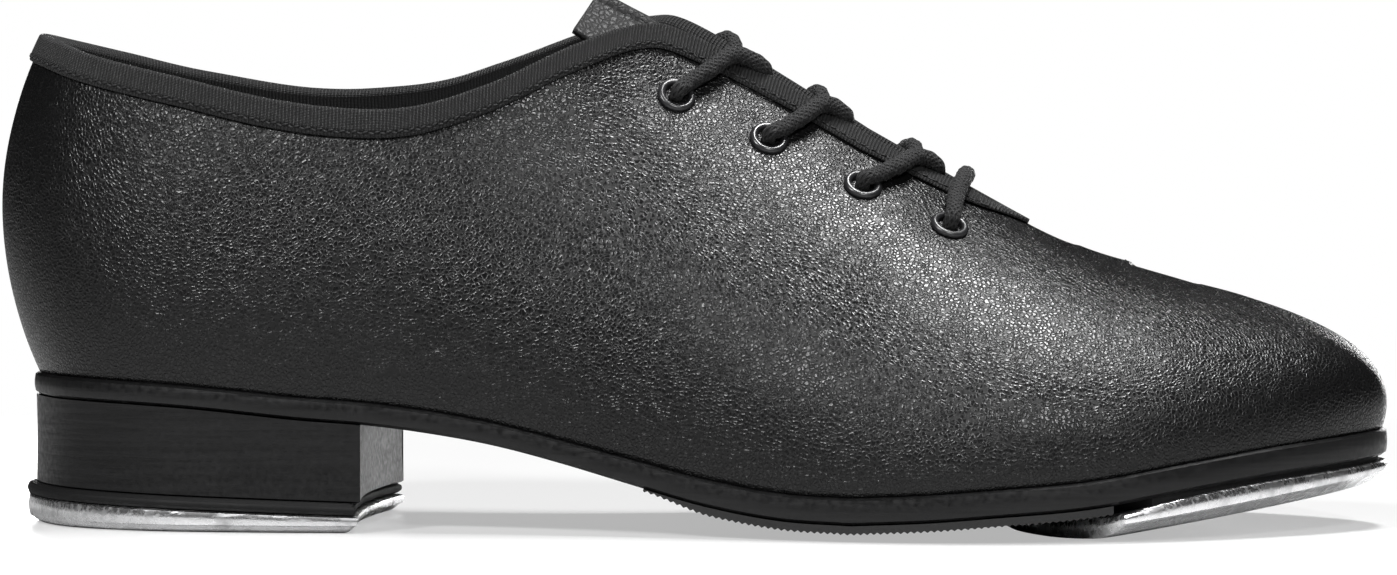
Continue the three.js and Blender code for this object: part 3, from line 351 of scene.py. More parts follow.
def rib_at(x, side, low, high):
    """The rib of one side whose bottom edge lies at x, between two ribs."""
    u = np.linspace(low, high, 400)
    return np.interp(x, feather(side * u)[0][:, 0], u)


def heel_plan(margin, back, hollow=2.2):
    """The plan of the heel: the sole's outline as far as the breast, which curves in."""
    t = np.sin(np.linspace(0, np.pi / 2, 90))
    near = feather(t * rib_at(BREAST - back, 1, 3, 6), margin)[0]
    far = feather(-t * rib_at(BREAST - back, -1, 3, 6), margin)[0]
    plan = plan_between(near, far, ends_dense(48))
    plan[..., 0] -= (t[:, None] ** 6) * hollow * 4 * ends_dense(48) * (1 - ends_dense(48))
    return plan


def tap_arc(y, grow=0.0):
    """Where the toe tap's curved back edge lies, for a place across the shoe."""
    radius = TAP_CURVE + grow
    return TAP_BACK + TAP_CURVE - np.sqrt(np.maximum(radius**2 - (y - 1) ** 2, 1))


def arc_meets(side, margin, grow):
    """The rib of one side at which the back edge's arc reaches the outline."""
    u = np.linspace(11, 17, 1200)
    edge = feather(side * u, margin)[0]
    return u[np.argmin(np.abs(edge[:, 0] - tap_arc(edge[:, 1], grow)))]


def toe_plan(margin, grow=0.0, stations=150, across=60):
    """The plan of the toe tap: rows that follow its curved back edge and straighten towards the toe."""
    t = ends_dense(stations)
    near = feather(mix(arc_meets(1, margin, grow), TOE, t), margin)[0]
    far = feather(-mix(arc_meets(-1, margin, grow), TOE, t), margin)[0]
    plan = plan_between(near, far, ends_dense(across))
    bow = plan[0, :, 0] - tap_arc(plan[0, :, 1], grow)
    plan[..., 0] -= (1 - t[:, None]) ** 2 * bow
    return plan


def tread_plan(margin, stations=520, across=36):
    """The plan of the rubber: from its straight back edge to a curve round the tap's back edge."""
    t = np.linspace(0, 1, stations)
    first = [rib_at(TREAD_BACK, side, 6, 10) for side in (1, -1)]
    last = [arc_meets(side, margin, 1.5) for side in (1, -1)]
    near = feather(mix(first[0], last[0], t), margin)[0]
    far = feather(-mix(first[1], last[1], t), margin)[0]
    plan = plan_between(near, far, ends_dense(across))
    bow = plan[-1, :, 0] - tap_arc(plan[-1, :, 1], 1.5)
    plan[..., 0] -= t[:, None] ** 2 * bow
    return plan


def tap_under(x):
    """Height of the toe tap's underside: flat, then a rocker, then a straight slope."""
    ahead = np.maximum(x - 72, 0)
    bend = np.minimum(ahead, 15.5)
    return bend**2 / 200 + 0.155 * (ahead - bend)


def sound_under(x):
    """Height of the sound board's underside."""
    return underside(x) - GAP - mix(1.3, 0.4, smooth(85, 105, x))


def heel_tap_top(x):
    """Height of the heel tap's upper face, which slopes down to the front."""
    return 5.6 - 2.2 / 70 * (x + 132.4)


def run_of(line):
    """The length of a line from its start to each of its places."""
    return np.concatenate([[0], np.cumsum(np.linalg.norm(np.diff(line, axis=0), axis=1))])


def curve_through(points, per_mm=3.0):
    """A smooth line through points: centripetal Catmull-Rom, worked out for all spans at once. Gives
    places, and for each the number of its span plus the share along it."""
    ends = [2 * points[0] - points[1]], [2 * points[-1] - points[-2]]
    p = np.concatenate([ends[0], points, ends[1]])
    span = np.sqrt(np.linalg.norm(np.diff(p, axis=0), axis=1))
    knots = np.concatenate([[0], np.cumsum(span)])
    lengths = np.linalg.norm(np.diff(points, axis=0), axis=1)
    count = np.maximum(2, np.round(lengths * per_mm)).astype(int)
    where = np.concatenate([i + np.arange(c) / c for i, c in enumerate(count)] + [[len(points) - 1]])
    i = np.minimum(where.astype(int), len(points) - 2)
    k0, k1, k2, k3 = (knots[i + k][:, None] for k in range(4))
    t = mix(k1, k2, (where - i)[:, None])
    p0, p1, p2, p3 = (p[i + k] for k in range(4))
    a1 = ((k1 - t) * p0 + (t - k0) * p1) / (k1 - k0)
    a2 = ((k2 - t) * p1 + (t - k1) * p2) / (k2 - k1)
    a3 = ((k3 - t) * p2 + (t - k2) * p3) / (k3 - k2)
    b1 = ((k2 - t) * a1 + (t - k0) * a2) / (k2 - k0)
    b2 = ((k3 - t) * a2 + (t - k1) * a3) / (k3 - k1)
    return ((k2 - t) * b1 + (t - k1) * b2) / (k2 - k1), where


def carried_frames(line, first):
    """Two directions square to a line at each of its places, carried along it without twisting."""
    tangent = unit(np.gradient(line, axis=0))
    across = np.empty_like(line)
    last = np.array(first, float)
    for i, along in enumerate(tangent):
        last = last - along * last.dot(along)
        last = last / np.linalg.norm(last)
        across[i] = last
    return across, np.cross(tangent, across)


def braided(name, points, radii, look, around=26, relief=0.07, pitch=3.4, cells=5):
    """A round braid along a line: the radius rises and falls with the product of two opposite screws,
    and its ends are closed. Its map runs along the line and round it, in millimetres."""
    line, where = curve_through(np.array(points, float))
    radius = np.interp(where, np.arange(len(radii)), radii)
    run = run_of(line)
    across, up = carried_frames(line, (0.3, 0.9, 0.1))
    turn = np.linspace(0, 2 * np.pi, around + 1)
    screw = 2 * np.pi * run[:, None] / pitch
    lobes = np.abs(np.sin(cells * turn / 2 + screw / 2) * np.sin(cells * turn / 2 - screw / 2))
    size = radius[:, None] * (1 - relief + relief * 1.6 * lobes)
    tube = (line[:, None] + size[..., None] * (np.cos(turn)[None, :, None] * across[:, None]
            + np.sin(turn)[None, :, None] * up[:, None]))
    caps = [np.broadcast_to(line[k], (1, around + 1, 3)) for k in (0, -1)]
    points = np.concatenate([caps[0], tube, caps[1]])
    uv = np.stack(np.broadcast_arrays(np.concatenate([[0], run, run[-1:]])[:, None], 1.9 * turn), -1)
    return make_piece(name, points, quads_of(len(points), around + 1), look, uv=uv, weld=0.002, sharp=180)


def turned(profile, centre, axis, around=48):
    """Points and quads of a closed ring: a profile of (radius, height) pairs turned about an axis."""
    profile = np.array(profile + profile[:1], float)
    side = unit(np.cross(axis, (0.31, 0.2, 0.93)))
    other = np.cross(axis, side)
    turn = np.linspace(0, 2 * np.pi, around + 1)[:, None, None]
    ring = side * np.cos(turn) + other * np.sin(turn)
    points = centre + ring * profile[None, :, :1] + axis * profile[None, :, 1:]
    return points.reshape(-1, 3), quads_of(around + 1, len(profile))


def merged(parts):
    """Several (points, quads) pairs as one."""
    counts = np.cumsum([0] + [len(points) for points, _ in parts])
    quads = np.concatenate([quads + first for (_, quads), first in zip(parts, counts)])
    return np.concatenate([points for points, _ in parts]), quads


# ---- Materials ----


def feed(tree, socket, value):
    """Links a socket to another one, or sets it to a constant."""
    if isinstance(value, bpy.types.NodeSocket):
        tree.links.new(value, socket)
    else:
        socket.default_value = value


def node_of(tree, kind, inputs=None, **settings):
    """Adds a node, sets it up, and fills or links its inputs."""
    node = tree.nodes.new(kind)
    for key, value in settings.items():
        setattr(node, key, value)
    for key, value in (inputs or {}).items():
        feed(tree, node.inputs[key], value)
    return node


def noise(tree, place, scale, detail=2.0, roughness=0.5):
    """A Noise Texture's value at a place."""
    inputs = {"Vector": place, "Scale": scale, "Detail": detail, "Roughness": roughness}
    return node_of(tree, "ShaderNodeTexNoise", inputs).outputs["Fac"]


def maths(tree, operation, *values):
    """A Math node's result."""
    return node_of(tree, "ShaderNodeMath", dict(enumerate(values)), operation=operation).outputs[0]


def plus(tree, value, other, share):
    """A value plus a share of another."""
    return maths(tree, "ADD", value, maths(tree, "MULTIPLY", other, share))


def ranged(tree, value, low, high, to_low=0.0, to_high=1.0):
    """A value moved from one range to another, and kept inside it."""
    inputs = {"Value": value, "From Min": low, "From Max": high, "To Min": to_low, "To Max": to_high}
    return node_of(tree, "ShaderNodeMapRange", inputs).outputs["Result"]


def blended(tree, share, a, b):
    """Two colours mixed by a share."""
    return node_of(tree, "ShaderNodeMix", {0: share, 6: a, 7: b}, data_type="RGBA").outputs[2]


def coloured(tree, shader, share, a, b):
    """Gives the shader a mix of two colours."""
    tree.links.new(blended(tree, share, a, b), shader.inputs["Base Color"])


def effect(name, inputs, outputs):
    """An empty node group with named float inputs and outputs, its tree and its two end nodes."""
    tree = bpy.data.node_groups.new(name, "ShaderNodeTree")
    for socket, default in inputs.items():
        kind = "NodeSocketVector" if default is None else "NodeSocketFloat"
        made = tree.interface.new_socket(name=socket, in_out="INPUT", socket_type=kind)
        if default is not None:
            made.default_value = default
    for socket in outputs:
        tree.interface.new_socket(name=socket, in_out="OUTPUT", socket_type="NodeSocketFloat")
    return tree, tree.nodes.new("NodeGroupInput"), tree.nodes.new("NodeGroupOutput")


def grain_effect():
    """Leather grain: small cells with raised middles, broken up by fine creases and slow variation."""
    tree, given, made = effect("leather_grain", {"Place": None, "Cells per metre": 1000.0},
                               ("Height", "Hollows", "Cloudiness"))
    place, scale = given.outputs["Place"], given.outputs["Cells per metre"]
    warp = node_of(tree, "ShaderNodeTexNoise", {"Vector": place, "Scale": 260.0, "Detail": 2.0})
    bent = node_of(tree, "ShaderNodeVectorMath", {0: warp.outputs["Color"], 1: (0.0016, 0.0016, 0.0016)},
                   operation="MULTIPLY").outputs[0]
    bent = node_of(tree, "ShaderNodeVectorMath", {0: place, 1: bent}, operation="ADD").outputs[0]
    cells = node_of(tree, "ShaderNodeTexVoronoi", {"Vector": bent, "Scale": scale},
                    feature="DISTANCE_TO_EDGE")
    pebble = ranged(tree, cells.outputs["Distance"], 0.02, 0.24)
    crease = noise(tree, place, maths(tree, "MULTIPLY", scale, 1.3), 3.0, 0.6)
    fine = ranged(tree, crease, 0.35, 0.65)
    height = plus(tree, maths(tree, "MULTIPLY", pebble, 0.75), fine, 0.3)
    tree.links.new(height, made.inputs["Height"])
    tree.links.new(ranged(tree, pebble, 0.1, 0.75, 1.0, 0.0), made.inputs["Hollows"])
    tree.links.new(ranged(tree, noise(tree, place, 28.0), 0.3, 0.7), made.inputs["Cloudiness"])
    return tree


def scratches_effect():
    """Wear on metal: long fine scratches, small dents and a slow cloud of handling."""
    tree, given, made = effect("metal_wear", {"Place": None, "Amount": 1.0}, ("Height", "Dull", "Stain"))
    place = given.outputs["Place"]
    turned_place = node_of(tree, "ShaderNodeMapping",
                           {"Vector": place, "Rotation": (0.2, 0.4, 0.5), "Scale": (180.0, 2600.0, 900.0)})
    scratch = ranged(tree, noise(tree, turned_place.outputs[0], 1.0, 3.0), 0.5, 0.72)
    spots = node_of(tree, "ShaderNodeTexVoronoi", {"Vector": place, "Scale": 420.0, "Randomness": 1.0})
    dent = ranged(tree, spots.outputs["Distance"], 0.05, 0.3, -1.0, 0.0)
    rough = plus(tree, maths(tree, "MULTIPLY", scratch, -0.5), dent, 0.25)
    rough = plus(tree, rough, noise(tree, place, 90.0), 2.2)
    tree.links.new(maths(tree, "MULTIPLY", rough, given.outputs["Amount"]), made.inputs["Height"])
    tree.links.new(maths(tree, "MULTIPLY", scratch, given.outputs["Amount"]), made.inputs["Dull"])
    stain = ranged(tree, noise(tree, place, 160.0, 5.0, 0.65), 0.5, 0.75)
    tree.links.new(stain, made.inputs["Stain"])
    return tree


def shader_of(name, **sockets):
    """A material with its Principled shader's constant sockets set, its tree and that shader."""
    material = bpy.data.materials.new(name)
    material.use_nodes = True
    shader = material.node_tree.nodes["Principled BSDF"]
    for socket, value in sockets.items():
        shader.inputs[socket.replace("_", " ")].default_value = value
    return material, material.node_tree, shader


def bumped(tree, shader, height, distance, strength=1.0):
    """Feeds a height to the shader's normal through a Bump node, its depth in metres."""
    bump = node_of(tree, "ShaderNodeBump", {"Height": height, "Distance": distance, "Strength": strength})
    tree.links.new(bump.outputs["Normal"], shader.inputs["Normal"])


def object_place(tree):
    """The place on the piece."""
    return tree.nodes.new("ShaderNodeTexCoord").outputs["Object"]


def map_place(tree):
    """The place on the piece's map, as its two numbers."""
    uv = tree.nodes.new("ShaderNodeTexCoord").outputs["UV"]
    split = node_of(tree, "ShaderNodeSeparateXYZ", {0: uv})
    return split.outputs["X"], split.outputs["Y"]


def placed(tree, group, **inputs):
    """An effect group's node in a material."""
    node = tree.nodes.new("ShaderNodeGroup")
    node.node_tree = group
    for key, value in inputs.items():
        feed(tree, node.inputs[key.replace("_", " ")], value)
    return node


def rgba(colour, factor=1.0):
    """A colour with full alpha, scaled."""
    return (*(channel * factor for channel in colour), 1.0)


def leather_look(name, colour, cells, depth, rough, specular=0.5, sheen=0.0):
    """Grained leather, with painted shade darkening its hollows, which are also duller."""
    material, tree, shader = shader_of(name, Specular_IOR_Level=specular, Sheen_Weight=sheen,
                                       Sheen_Roughness=0.4)
    grain = placed(tree, bpy.data.node_groups["leather_grain"], Place=object_place(tree),
                   Cells_per_metre=cells)
    hollow, cloud = grain.outputs["Hollows"], grain.outputs["Cloudiness"]
    tone = blended(tree, cloud, rgba(colour, 0.8), rgba(colour, 1.25))
    # Painted shade: the colour falls to about a third in the grain's hollows.
    coloured(tree, shader, hollow, tone, rgba(colour, 0.35))
    gloss = plus(tree, ranged(tree, hollow, 0.0, 1.0, rough, rough + 0.2), cloud, 0.06)
    tree.links.new(gloss, shader.inputs["Roughness"])
    bumped(tree, shader, grain.outputs["Height"], depth)
    return material


def edge_look(name, colour):
    """Inked and burnished sole leather, with faint level layers and small nicks."""
    material, tree, shader = shader_of(name, Specular_IOR_Level=0.3)
    place = object_place(tree)
    flat = node_of(tree, "ShaderNodeMapping", {"Vector": place, "Scale": (40.0, 40.0, 900.0)}).outputs[0]
    layers, pits = noise(tree, flat, 1.0, 3.0), noise(tree, place, 900.0, 3.0)
    coloured(tree, shader, ranged(tree, layers, 0.35, 0.65), rgba(colour, 0.6), rgba(colour, 1.4))
    tree.links.new(ranged(tree, pits, 0.3, 0.7, 0.3, 0.5), shader.inputs["Roughness"])
    bumped(tree, shader, plus(tree, layers, pits, 0.5), 0.00006)
    return material


def tap_look(name, colour):
    """Polished cast aluminium with fine scratches, dents and dull stains."""
    material, tree, shader = shader_of(name, Metallic=1.0)
    wear = placed(tree, bpy.data.node_groups["metal_wear"], Place=object_place(tree), Amount=1.0)
    coloured(tree, shader, wear.outputs["Stain"], rgba(colour), rgba(colour, 0.55))
    dull = plus(tree, maths(tree, "MULTIPLY", wear.outputs["Dull"], 0.18), wear.outputs["Stain"], 0.15)
    tree.links.new(maths(tree, "ADD", dull, 0.24), shader.inputs["Roughness"])
    bumped(tree, shader, wear.outputs["Height"], 0.00004)
    return material


def ribbed_look(name, colour):
    """Grosgrain: round ribs square to the tape's edges, with a plain flat selvedge below the stitching.
    The map's first number runs along the tape and its second across it, in millimetres."""
    material, tree, shader = shader_of(name, Specular_IOR_Level=0.3, Sheen_Weight=0.03,
                                       Sheen_Roughness=0.5)
    along, across = map_place(tree)
    wave = maths(tree, "ABSOLUTE", maths(tree, "SINE", maths(tree, "MULTIPLY", along, math.pi / 0.72)))
    threads = maths(tree, "SINE", maths(tree, "MULTIPLY", across, 2 * math.pi / 0.32))
    ribs = plus(tree, wave, threads, 0.12)
    ribs = plus(tree, ribs, noise(tree, object_place(tree), 2600.0), 0.5)
    # Painted shade and painted highlight: the colour follows the rib height, dark in the grooves between ribs
    # and light on their crests, with a fine random fleck.
    coloured(tree, shader, ranged(tree, ribs, 0.2, 1.2), rgba(colour, 0.25), rgba(colour, 1.5))
    shader.inputs["Roughness"].default_value = 0.6
    bumped(tree, shader, ribs, 0.0005)
    return material


def braid_look(name, colour, pitch=1.15):
    """Plaited thread: two sets of slanting threads over the map, which is in millimetres."""
    material, tree, shader = shader_of(name, Specular_IOR_Level=0.25, Sheen_Weight=0.04,
                                       Sheen_Roughness=0.5, Roughness=0.65)
    along, across = map_place(tree)
    slants = [plus(tree, along, across, side) for side in (0.8, -0.8)]
    threads = [maths(tree, "ABSOLUTE", maths(tree, "SINE", maths(tree, "MULTIPLY", s, math.pi / pitch)))
               for s in slants]
    woven = maths(tree, "MAXIMUM", *threads)
    woven = plus(tree, woven, noise(tree, object_place(tree), 3000.0), 0.4)
    # Painted shade and painted highlight: the colour follows the threads' height, dark between the threads
    # and light on their raised middles, with a fine random fleck.
    coloured(tree, shader, ranged(tree, woven, 0.7, 1.2), rgba(colour, 0.3), rgba(colour, 1.6))
    bumped(tree, shader, woven, 0.0005)
    return material


def plain_look(name, colour, rough, scale, depth, specular=0.5, metallic=0.0, spread=0.35, sheen=0.0):
    """A finish with a fine mottle in its colour, gloss and surface: rubber, board, cork, paint or steel."""
    material, tree, shader = shader_of(name, Specular_IOR_Level=specular, Metallic=metallic,
                                       Sheen_Weight=sheen)
    place = object_place(tree)
    mottle, slow = noise(tree, place, scale, 4.0, 0.6), noise(tree, place, scale / 12)
    tone = ranged(tree, mottle, 0.3, 0.7)
    coloured(tree, shader, tone, rgba(colour, 1 - spread), rgba(colour, 1 + spread))
    tree.links.new(ranged(tree, slow, 0.3, 0.7, rough - 0.06, rough + 0.06), shader.inputs["Roughness"])
    bumped(tree, shader, mottle, depth)
    return material


def woven_look(name, colour, pitch=0.0009):
    """Plain woven cloth on the object's own coordinates."""
    material, tree, shader = shader_of(name, Specular_IOR_Level=0.2, Sheen_Weight=0.2, Roughness=0.9)
    place = node_of(tree, "ShaderNodeSeparateXYZ", {0: object_place(tree)})
    waves = [maths(tree, "SINE", maths(tree, "MULTIPLY", place.outputs[axis], 2 * math.pi / pitch))
             for axis in "XYZ"]
    weave = plus(tree, maths(tree, "MULTIPLY", waves[0], waves[2]), waves[1], 0.6)
    # Painted shade and painted highlight: the colour follows the weave's height, dark in its low places and
    # light on its raised ones.
    coloured(tree, shader, ranged(tree, weave, -1.0, 1.0), rgba(colour, 0.6), rgba(colour, 1.3))
    bumped(tree, shader, weave, 0.0001)
    return material


def make_looks(colours):
    """All the finishes, by the name of the record's slot."""
    grain_effect()
    scratches_effect()
    black, dark = tuple(colours.leather), tuple(colours.fabric)
    return {
        "upper_leather": leather_look("upper_leather", black, 1250.0, 0.00008, 0.2, specular=0.3),
        "tongue_leather": leather_look("tongue_leather", black, 800.0, 0.0001, 0.5, specular=0.3),
        "lining_fabric": woven_look("lining_fabric", tuple(colours.lining)),
        "binding_tape": ribbed_look("binding_tape", dark),
        "thread": braid_look("thread", tuple(5 * channel for channel in dark), 0.4),
        "lace_braid": braid_look("lace_braid", dark),
        "sole_leather": edge_look("sole_leather", tuple(colours.sole)),
        "tread_rubber": plain_look("tread_rubber", tuple(colours.sole), 0.6, 1500.0, 0.00008),
        "fibre_board": plain_look("fibre_board", tuple(colours.sole), 0.7, 1200.0, 0.0001, specular=0.25),
        "tap_metal": tap_look("tap_metal", tuple(colours.tap)),
        "steel": plain_look("steel", (0.5, 0.51, 0.53), 0.32, 900.0, 0.00004, metallic=1.0, spread=0.15),
        "eyelet_metal": plain_look("eyelet_metal", (0.012, 0.012, 0.013), 0.3, 700.0, 0.00003),
        "aglet_plastic": plain_look("aglet_plastic", (0.015, 0.015, 0.015), 0.2, 500.0, 0.00002),
        "cork": plain_look("cork", (0.42, 0.27, 0.15), 0.85, 700.0, 0.0003, spread=0.5),
        "insole_board": plain_look("insole_board", (0.36, 0.27, 0.17), 0.85, 1400.0, 0.0001),
        "stiffener": plain_look("stiffener", (0.55, 0.52, 0.45), 0.85, 1600.0, 0.0001),
    }


LOOKS = {}

# ---- Upper, lining and sock ----


def eyelet_frames():
    """Centres and outward directions of the eyelets, outer side first, from the top row down. Each
    lies on its rib at its setback from the facing's edge."""
    found = []
    v = np.linspace(1, 0.5, 401)
    for number, setback in zip(EYELET_RIBS, EYELET_SETBACKS):
        for side in (1, -1):
            places = surface(np.full_like(v, side * number), v)
            k = np.argmax(np.linalg.norm(places - places[0], axis=1) >= setback)
            found.append((side * number, places[k], outward(np.array(side * number), v[k])))
    return found


EYELETS = eyelet_frames()


def seam_rib(v):
    """The rib of the inner quarter's front edge at each height, from the sole up to the ridge."""
    return -(13 + v**1.5)


def leather_relief(u, v, places):
    """How far the leather stands out of the last: slow swells, a dimple under each eyelet, and the
    inner quarter's lapped edge, which wraps just over the ridge."""
    x, y, z = places[..., 0], places[..., 1], places[..., 2]
    swell = np.sin(x / 13 + 1.3 * np.sin(z / 11)) * np.sin(z / 9 + 0.8 * np.sin(x / 17) + y / 30)
    swell += 0.5 * np.sin(x / 6.5 + z / 14 + 2) * np.sin(z / 6 - x / 19)
    relief = 0.09 * swell * smooth(0, 0.12, v) * (1 - smooth(0.8, 0.93, v))
    for _, centre, _ in EYELETS:
        relief -= 0.4 * np.exp(-((places - centre) ** 2).sum(-1) / 32)
    behind = (np.abs(seam_rib(v)) - np.abs(u)) * 11
    over_ridge = np.minimum(np.minimum(14 - u, u - 12.9) * 11, (v - 0.99) * 120)
    inside = np.where(u < 0, behind, over_ridge)
    return relief + 0.65 * smooth(-0.1, 0.5, inside) * np.exp(-np.maximum(inside, 0) / 9)


def wall_sheet(columns, rows, foot, top, depth):
    """Points of a sheet round the whole last, from the height foot up to top(u), at depth(u, v). Both
    sides meet along the ridge in front of the throat."""
    u, v = np.meshgrid(np.linspace(-TOE, TOE, columns), np.linspace(0, 1, rows), indexing="ij")
    v = foot + v * (top(u) - foot)
    points = skin(u, v, depth(u, v))
    ridge = np.abs(u[:, 0]) > THROAT + 0.08
    met = (points[:, -1] + points[::-1, -1]) / 2
    points[ridge, -1] = met[ridge]
    return points


def quarter_top(u):
    """Walls end inside the binding, and in front of it at the ridge."""
    return mix(EDGE, 1, smooth(THROAT - 0.3, THROAT + 0.08, np.abs(u)))


def upper_depth(u, v):
    """The leather's outer face."""
    return -leather_relief(u, v, surface(u, v))


def lining_depth(u, v):
    """The lining lies deeper where counter and puff are behind it, and shallower at the top line."""
    thin = smooth(0.6, 0.8, v) * (1 - smooth(THROAT, THROAT + 1, np.abs(u)))
    return mix(LINING_DEPTH, 2.3, thin)


class TAPSHOE_OT_upper(Operator):
    """Leather upper: one sheet round the last, with the inner quarter lapped over the vamp"""

    bl_idname = "tap_shoe.upper"
    bl_label = "Upper"

    def execute(self, context):
        points = wall_sheet(561, 68, 0, quarter_top, upper_depth)
        piece = make_piece("upper", points, quads_of(*points.shape[:2]), LOOKS["upper_leather"],
                           weld=0.004, closed=False, sharp=180)
        thicken(piece, context.scene.tap_shoe.leather)
        bend_at_ball(piece)
        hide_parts("lateral_quarter", "medial_quarter", "vamp_flex_panel", "vamp_toe")
        v = np.linspace(0.03, 0.98, 400)
        seam = stitches("upper_stitching", seam_rib(v) + 0.16, v, -0.55, 2.1, (0.75, 0.24, 0.2),
                        LOOKS["thread"])
        bend_at_ball(seam)
        return {"FINISHED"}


class TAPSHOE_OT_lining(Operator):
    """Woven lining inside the upper, and the padded sock the foot stands on"""

    bl_idname = "tap_shoe.lining"
    bl_label = "Lining and sock"

    def execute(self, context):
        points = wall_sheet(401, 50, 0.01, quarter_top, lining_depth)
        piece = make_piece("lining", points, quads_of(*points.shape[:2]), LOOKS["lining_fabric"],
                           weld=0.004, closed=False, sharp=180)
        thicken(piece, 0.6)
        bend_at_ball(piece)
        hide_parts("quarter_lining", "vamp_lining_flex_panel", "vamp_lining")

        def under(x, y, inset):
            return seat(x) + 6.0 + 0 * inset

        def over(x, y, inset):
            return seat(x) + 7.8 + 0.5 * (1 - smooth(0, 9, inset)) - 0.5 * (1 - smooth(0, 0.8, inset)) ** 2

        sock = slab("sock", whole_plan(-4.1, 220, 30), under, over, LOOKS["lining_fabric"], sharp=60)
        bend_at_ball(sock)
        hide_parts("sock_liner_rear", "sock_liner_front")
        return {"FINISHED"}


def stitches(name, u, v, depth, pitch, size, look, zigzag=0.0):
    """Thread in short stitches along a line on the last: stretched balls a pitch apart, lying along
    the line, or slanting to either side of it by turns where zigzag is given in millimetres."""
    line = skin(u, v, np.full_like(u, depth))
    run = run_of(line)
    at = np.arange(pitch / 2, run[-1], pitch)
    centre = np.stack([np.interp(at, run, line[:, k]) for k in range(3)], -1)
    along = unit(np.gradient(centre, axis=0))
    out = unit(outward(np.interp(at, run, u), np.interp(at, run, v)))
    side = unit(np.cross(out, along))
    turn = np.where(np.arange(len(at)) % 2, 1.0, -1.0)[:, None]
    centre = centre + side * turn * zigzag / 2
    along = unit(along + side * turn * min(zigzag, 0.45))
    side = unit(np.cross(out, along))
    a, b = np.meshgrid(np.linspace(0, np.pi, 6), np.linspace(0, 2 * np.pi, 8), indexing="ij")
    ball = np.stack([np.cos(a) * size[0], np.sin(a) * np.cos(b) * size[1], np.sin(a) * np.sin(b) * size[2]])
    axes = np.stack([along, side, out], 1)
    points = centre[:, None, None] + np.einsum("kij,nkd->nijd", ball, axes)
    quads = quads_of(6, 8)[None] + 48 * np.arange(len(at))[:, None, None]
    return make_piece(name, points, quads.reshape(-1, 4), look, weld=0.002, sharp=180)


# ---- Binding ----


def binding_points(u, width):
    """A folded tape over the top line. Its ring runs up the outside, over the edge in an arch, down
    the inside and back through the fold. The outer side has a shallow channel for the stitching."""
    edge, rim = surface(u, 1), outward(u, 1)
    up = unit(edge - surface(u, 0.98))
    per_mm = 0.1 / np.linalg.norm(edge - surface(u, 0.9), axis=-1)
    taper = mix(1, 0.2, smooth(THROAT - 0.55, THROAT, np.abs(u))) * width
    near, far = -0.88, 3.62
    rows = []
    across = []
    for share in np.linspace(1, 0, 20):
        w = share * taper
        place = share * BINDING_WIDTH
        thick = 0.2 * smooth(0, 0.35, BINDING_WIDTH - BINDING_WIDTH * share)
        thick = thick - 0.16 * np.exp(-((place - STITCH_ROW) / 0.28) ** 2)
        rows.append(skin(u, 1 - per_mm * w, near + 0.2 - thick - 0.12 * (share < 0.76)))
        across.append(w)
    for turn in np.linspace(0, np.pi, 9):
        depth = mix(near - 0.12, far, (1 - math.cos(turn)) / 2)
        rows.append(edge + up * (1.0 * math.sin(turn)) - rim * depth)
        across.append(0 * u - turn)
    for share in np.linspace(0.06, 1, 9):
        rows.append(skin(u, 1 - per_mm * share * taper, far + 0 * u))
        across.append(share * taper + 4)
    for share, depth in ((1, far - 0.45), (0.1, far - 0.45), (0.1, near + 0.5), (1, near + 0.5)):
        rows.append(skin(u, 1 - per_mm * share * taper, depth + 0 * u))
        across.append(share * taper + 9)
    return np.stack(rows + rows[:1], 1), np.stack(across + across[:1], 1)


class TAPSHOE_OT_binding(Operator):
    """Ribbed tape folded over the top line, with a row of scalloped stitches near its lower border"""

    bl_idname = "tap_shoe.binding"
    bl_label = "Binding"

    def execute(self, context):
        width = context.scene.tap_shoe.binding
        u = np.linspace(-THROAT, THROAT, 1101)
        points, across = binding_points(u, width)
        run = run_of(surface(u, 1))
        uv = np.stack(np.broadcast_arrays(run[:, None], across), -1)
        ends = [np.broadcast_to(points[k].mean(0), (1, *points.shape[1:])) for k in (0, -1)]
        points = np.concatenate([ends[0], points, ends[1]])
        uv = np.concatenate([uv[:1], uv, uv[-1:]])
        piece = make_piece("binding", points, quads_of(*points.shape[:2]), LOOKS["binding_tape"], uv=uv,
                           weld=0.001, sharp=60)
        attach(piece, "rearfoot")
        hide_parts("topline_binding")
        inner = np.linspace(-THROAT + 0.35, THROAT - 0.35, 1600)
        reach = np.linalg.norm(surface(inner, 1) - surface(inner, 0.9), axis=-1)
        row = 1 - 0.1 * STITCH_ROW * width / BINDING_WIDTH / reach
        sewn = stitches("binding_stitching", inner, row, -0.95, 1.15, (0.6, 0.24, 0.2),
                        LOOKS["thread"], zigzag=0.3)
        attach(sewn, "rearfoot")
        return {"FINISHED"}


# ---- Eyelets, lace and tongue ----

LACE_DEPTH = 5.54  # of the runs under the facings
PULLED = 1.4  # radius of the lace where it is pulled through the eyelets and the slit
OVER_FACING = 0.9  # room kept between the leather and the crossing strands
OVER_EYELET = 1.9  # height of the lace's middle line where it leaves an eyelet
PRESSED = 0.88  # share of its thickness that the lace keeps there
BROW_REACH = 1.6  # how far a strand leans into the slit before it dives
ROWS = len(EYELET_RIBS)
TONGUE_DEPTH = 8.34
TONGUE_TOP_RIB = 9.3
ARCH_FOOT, ARCH_SHARE = 0.93, 0.3  # height on the last of the arch's feet, and its part of the width
NECK, TIP = 14, 14.6  # lengths of the part that rises and of the part bent back
NECK_RISE, TIP_RISE = np.array([-0.62, 0, 0.785]), np.array([-0.887, 0, 0.461])
COMES_UP = [[0.93, 0.58], [0.74, 0.42], [0.74, 0.42]]


def eyelet_at(side, row):
    """An eyelet by its side and its row, from the top down."""
    return EYELETS[2 * row + (0 if side > 0 else 1)]


def spot(u, v, depth):
    """One point on or under the leather."""
    return skin(np.array(float(u)), np.array(float(v)), depth)


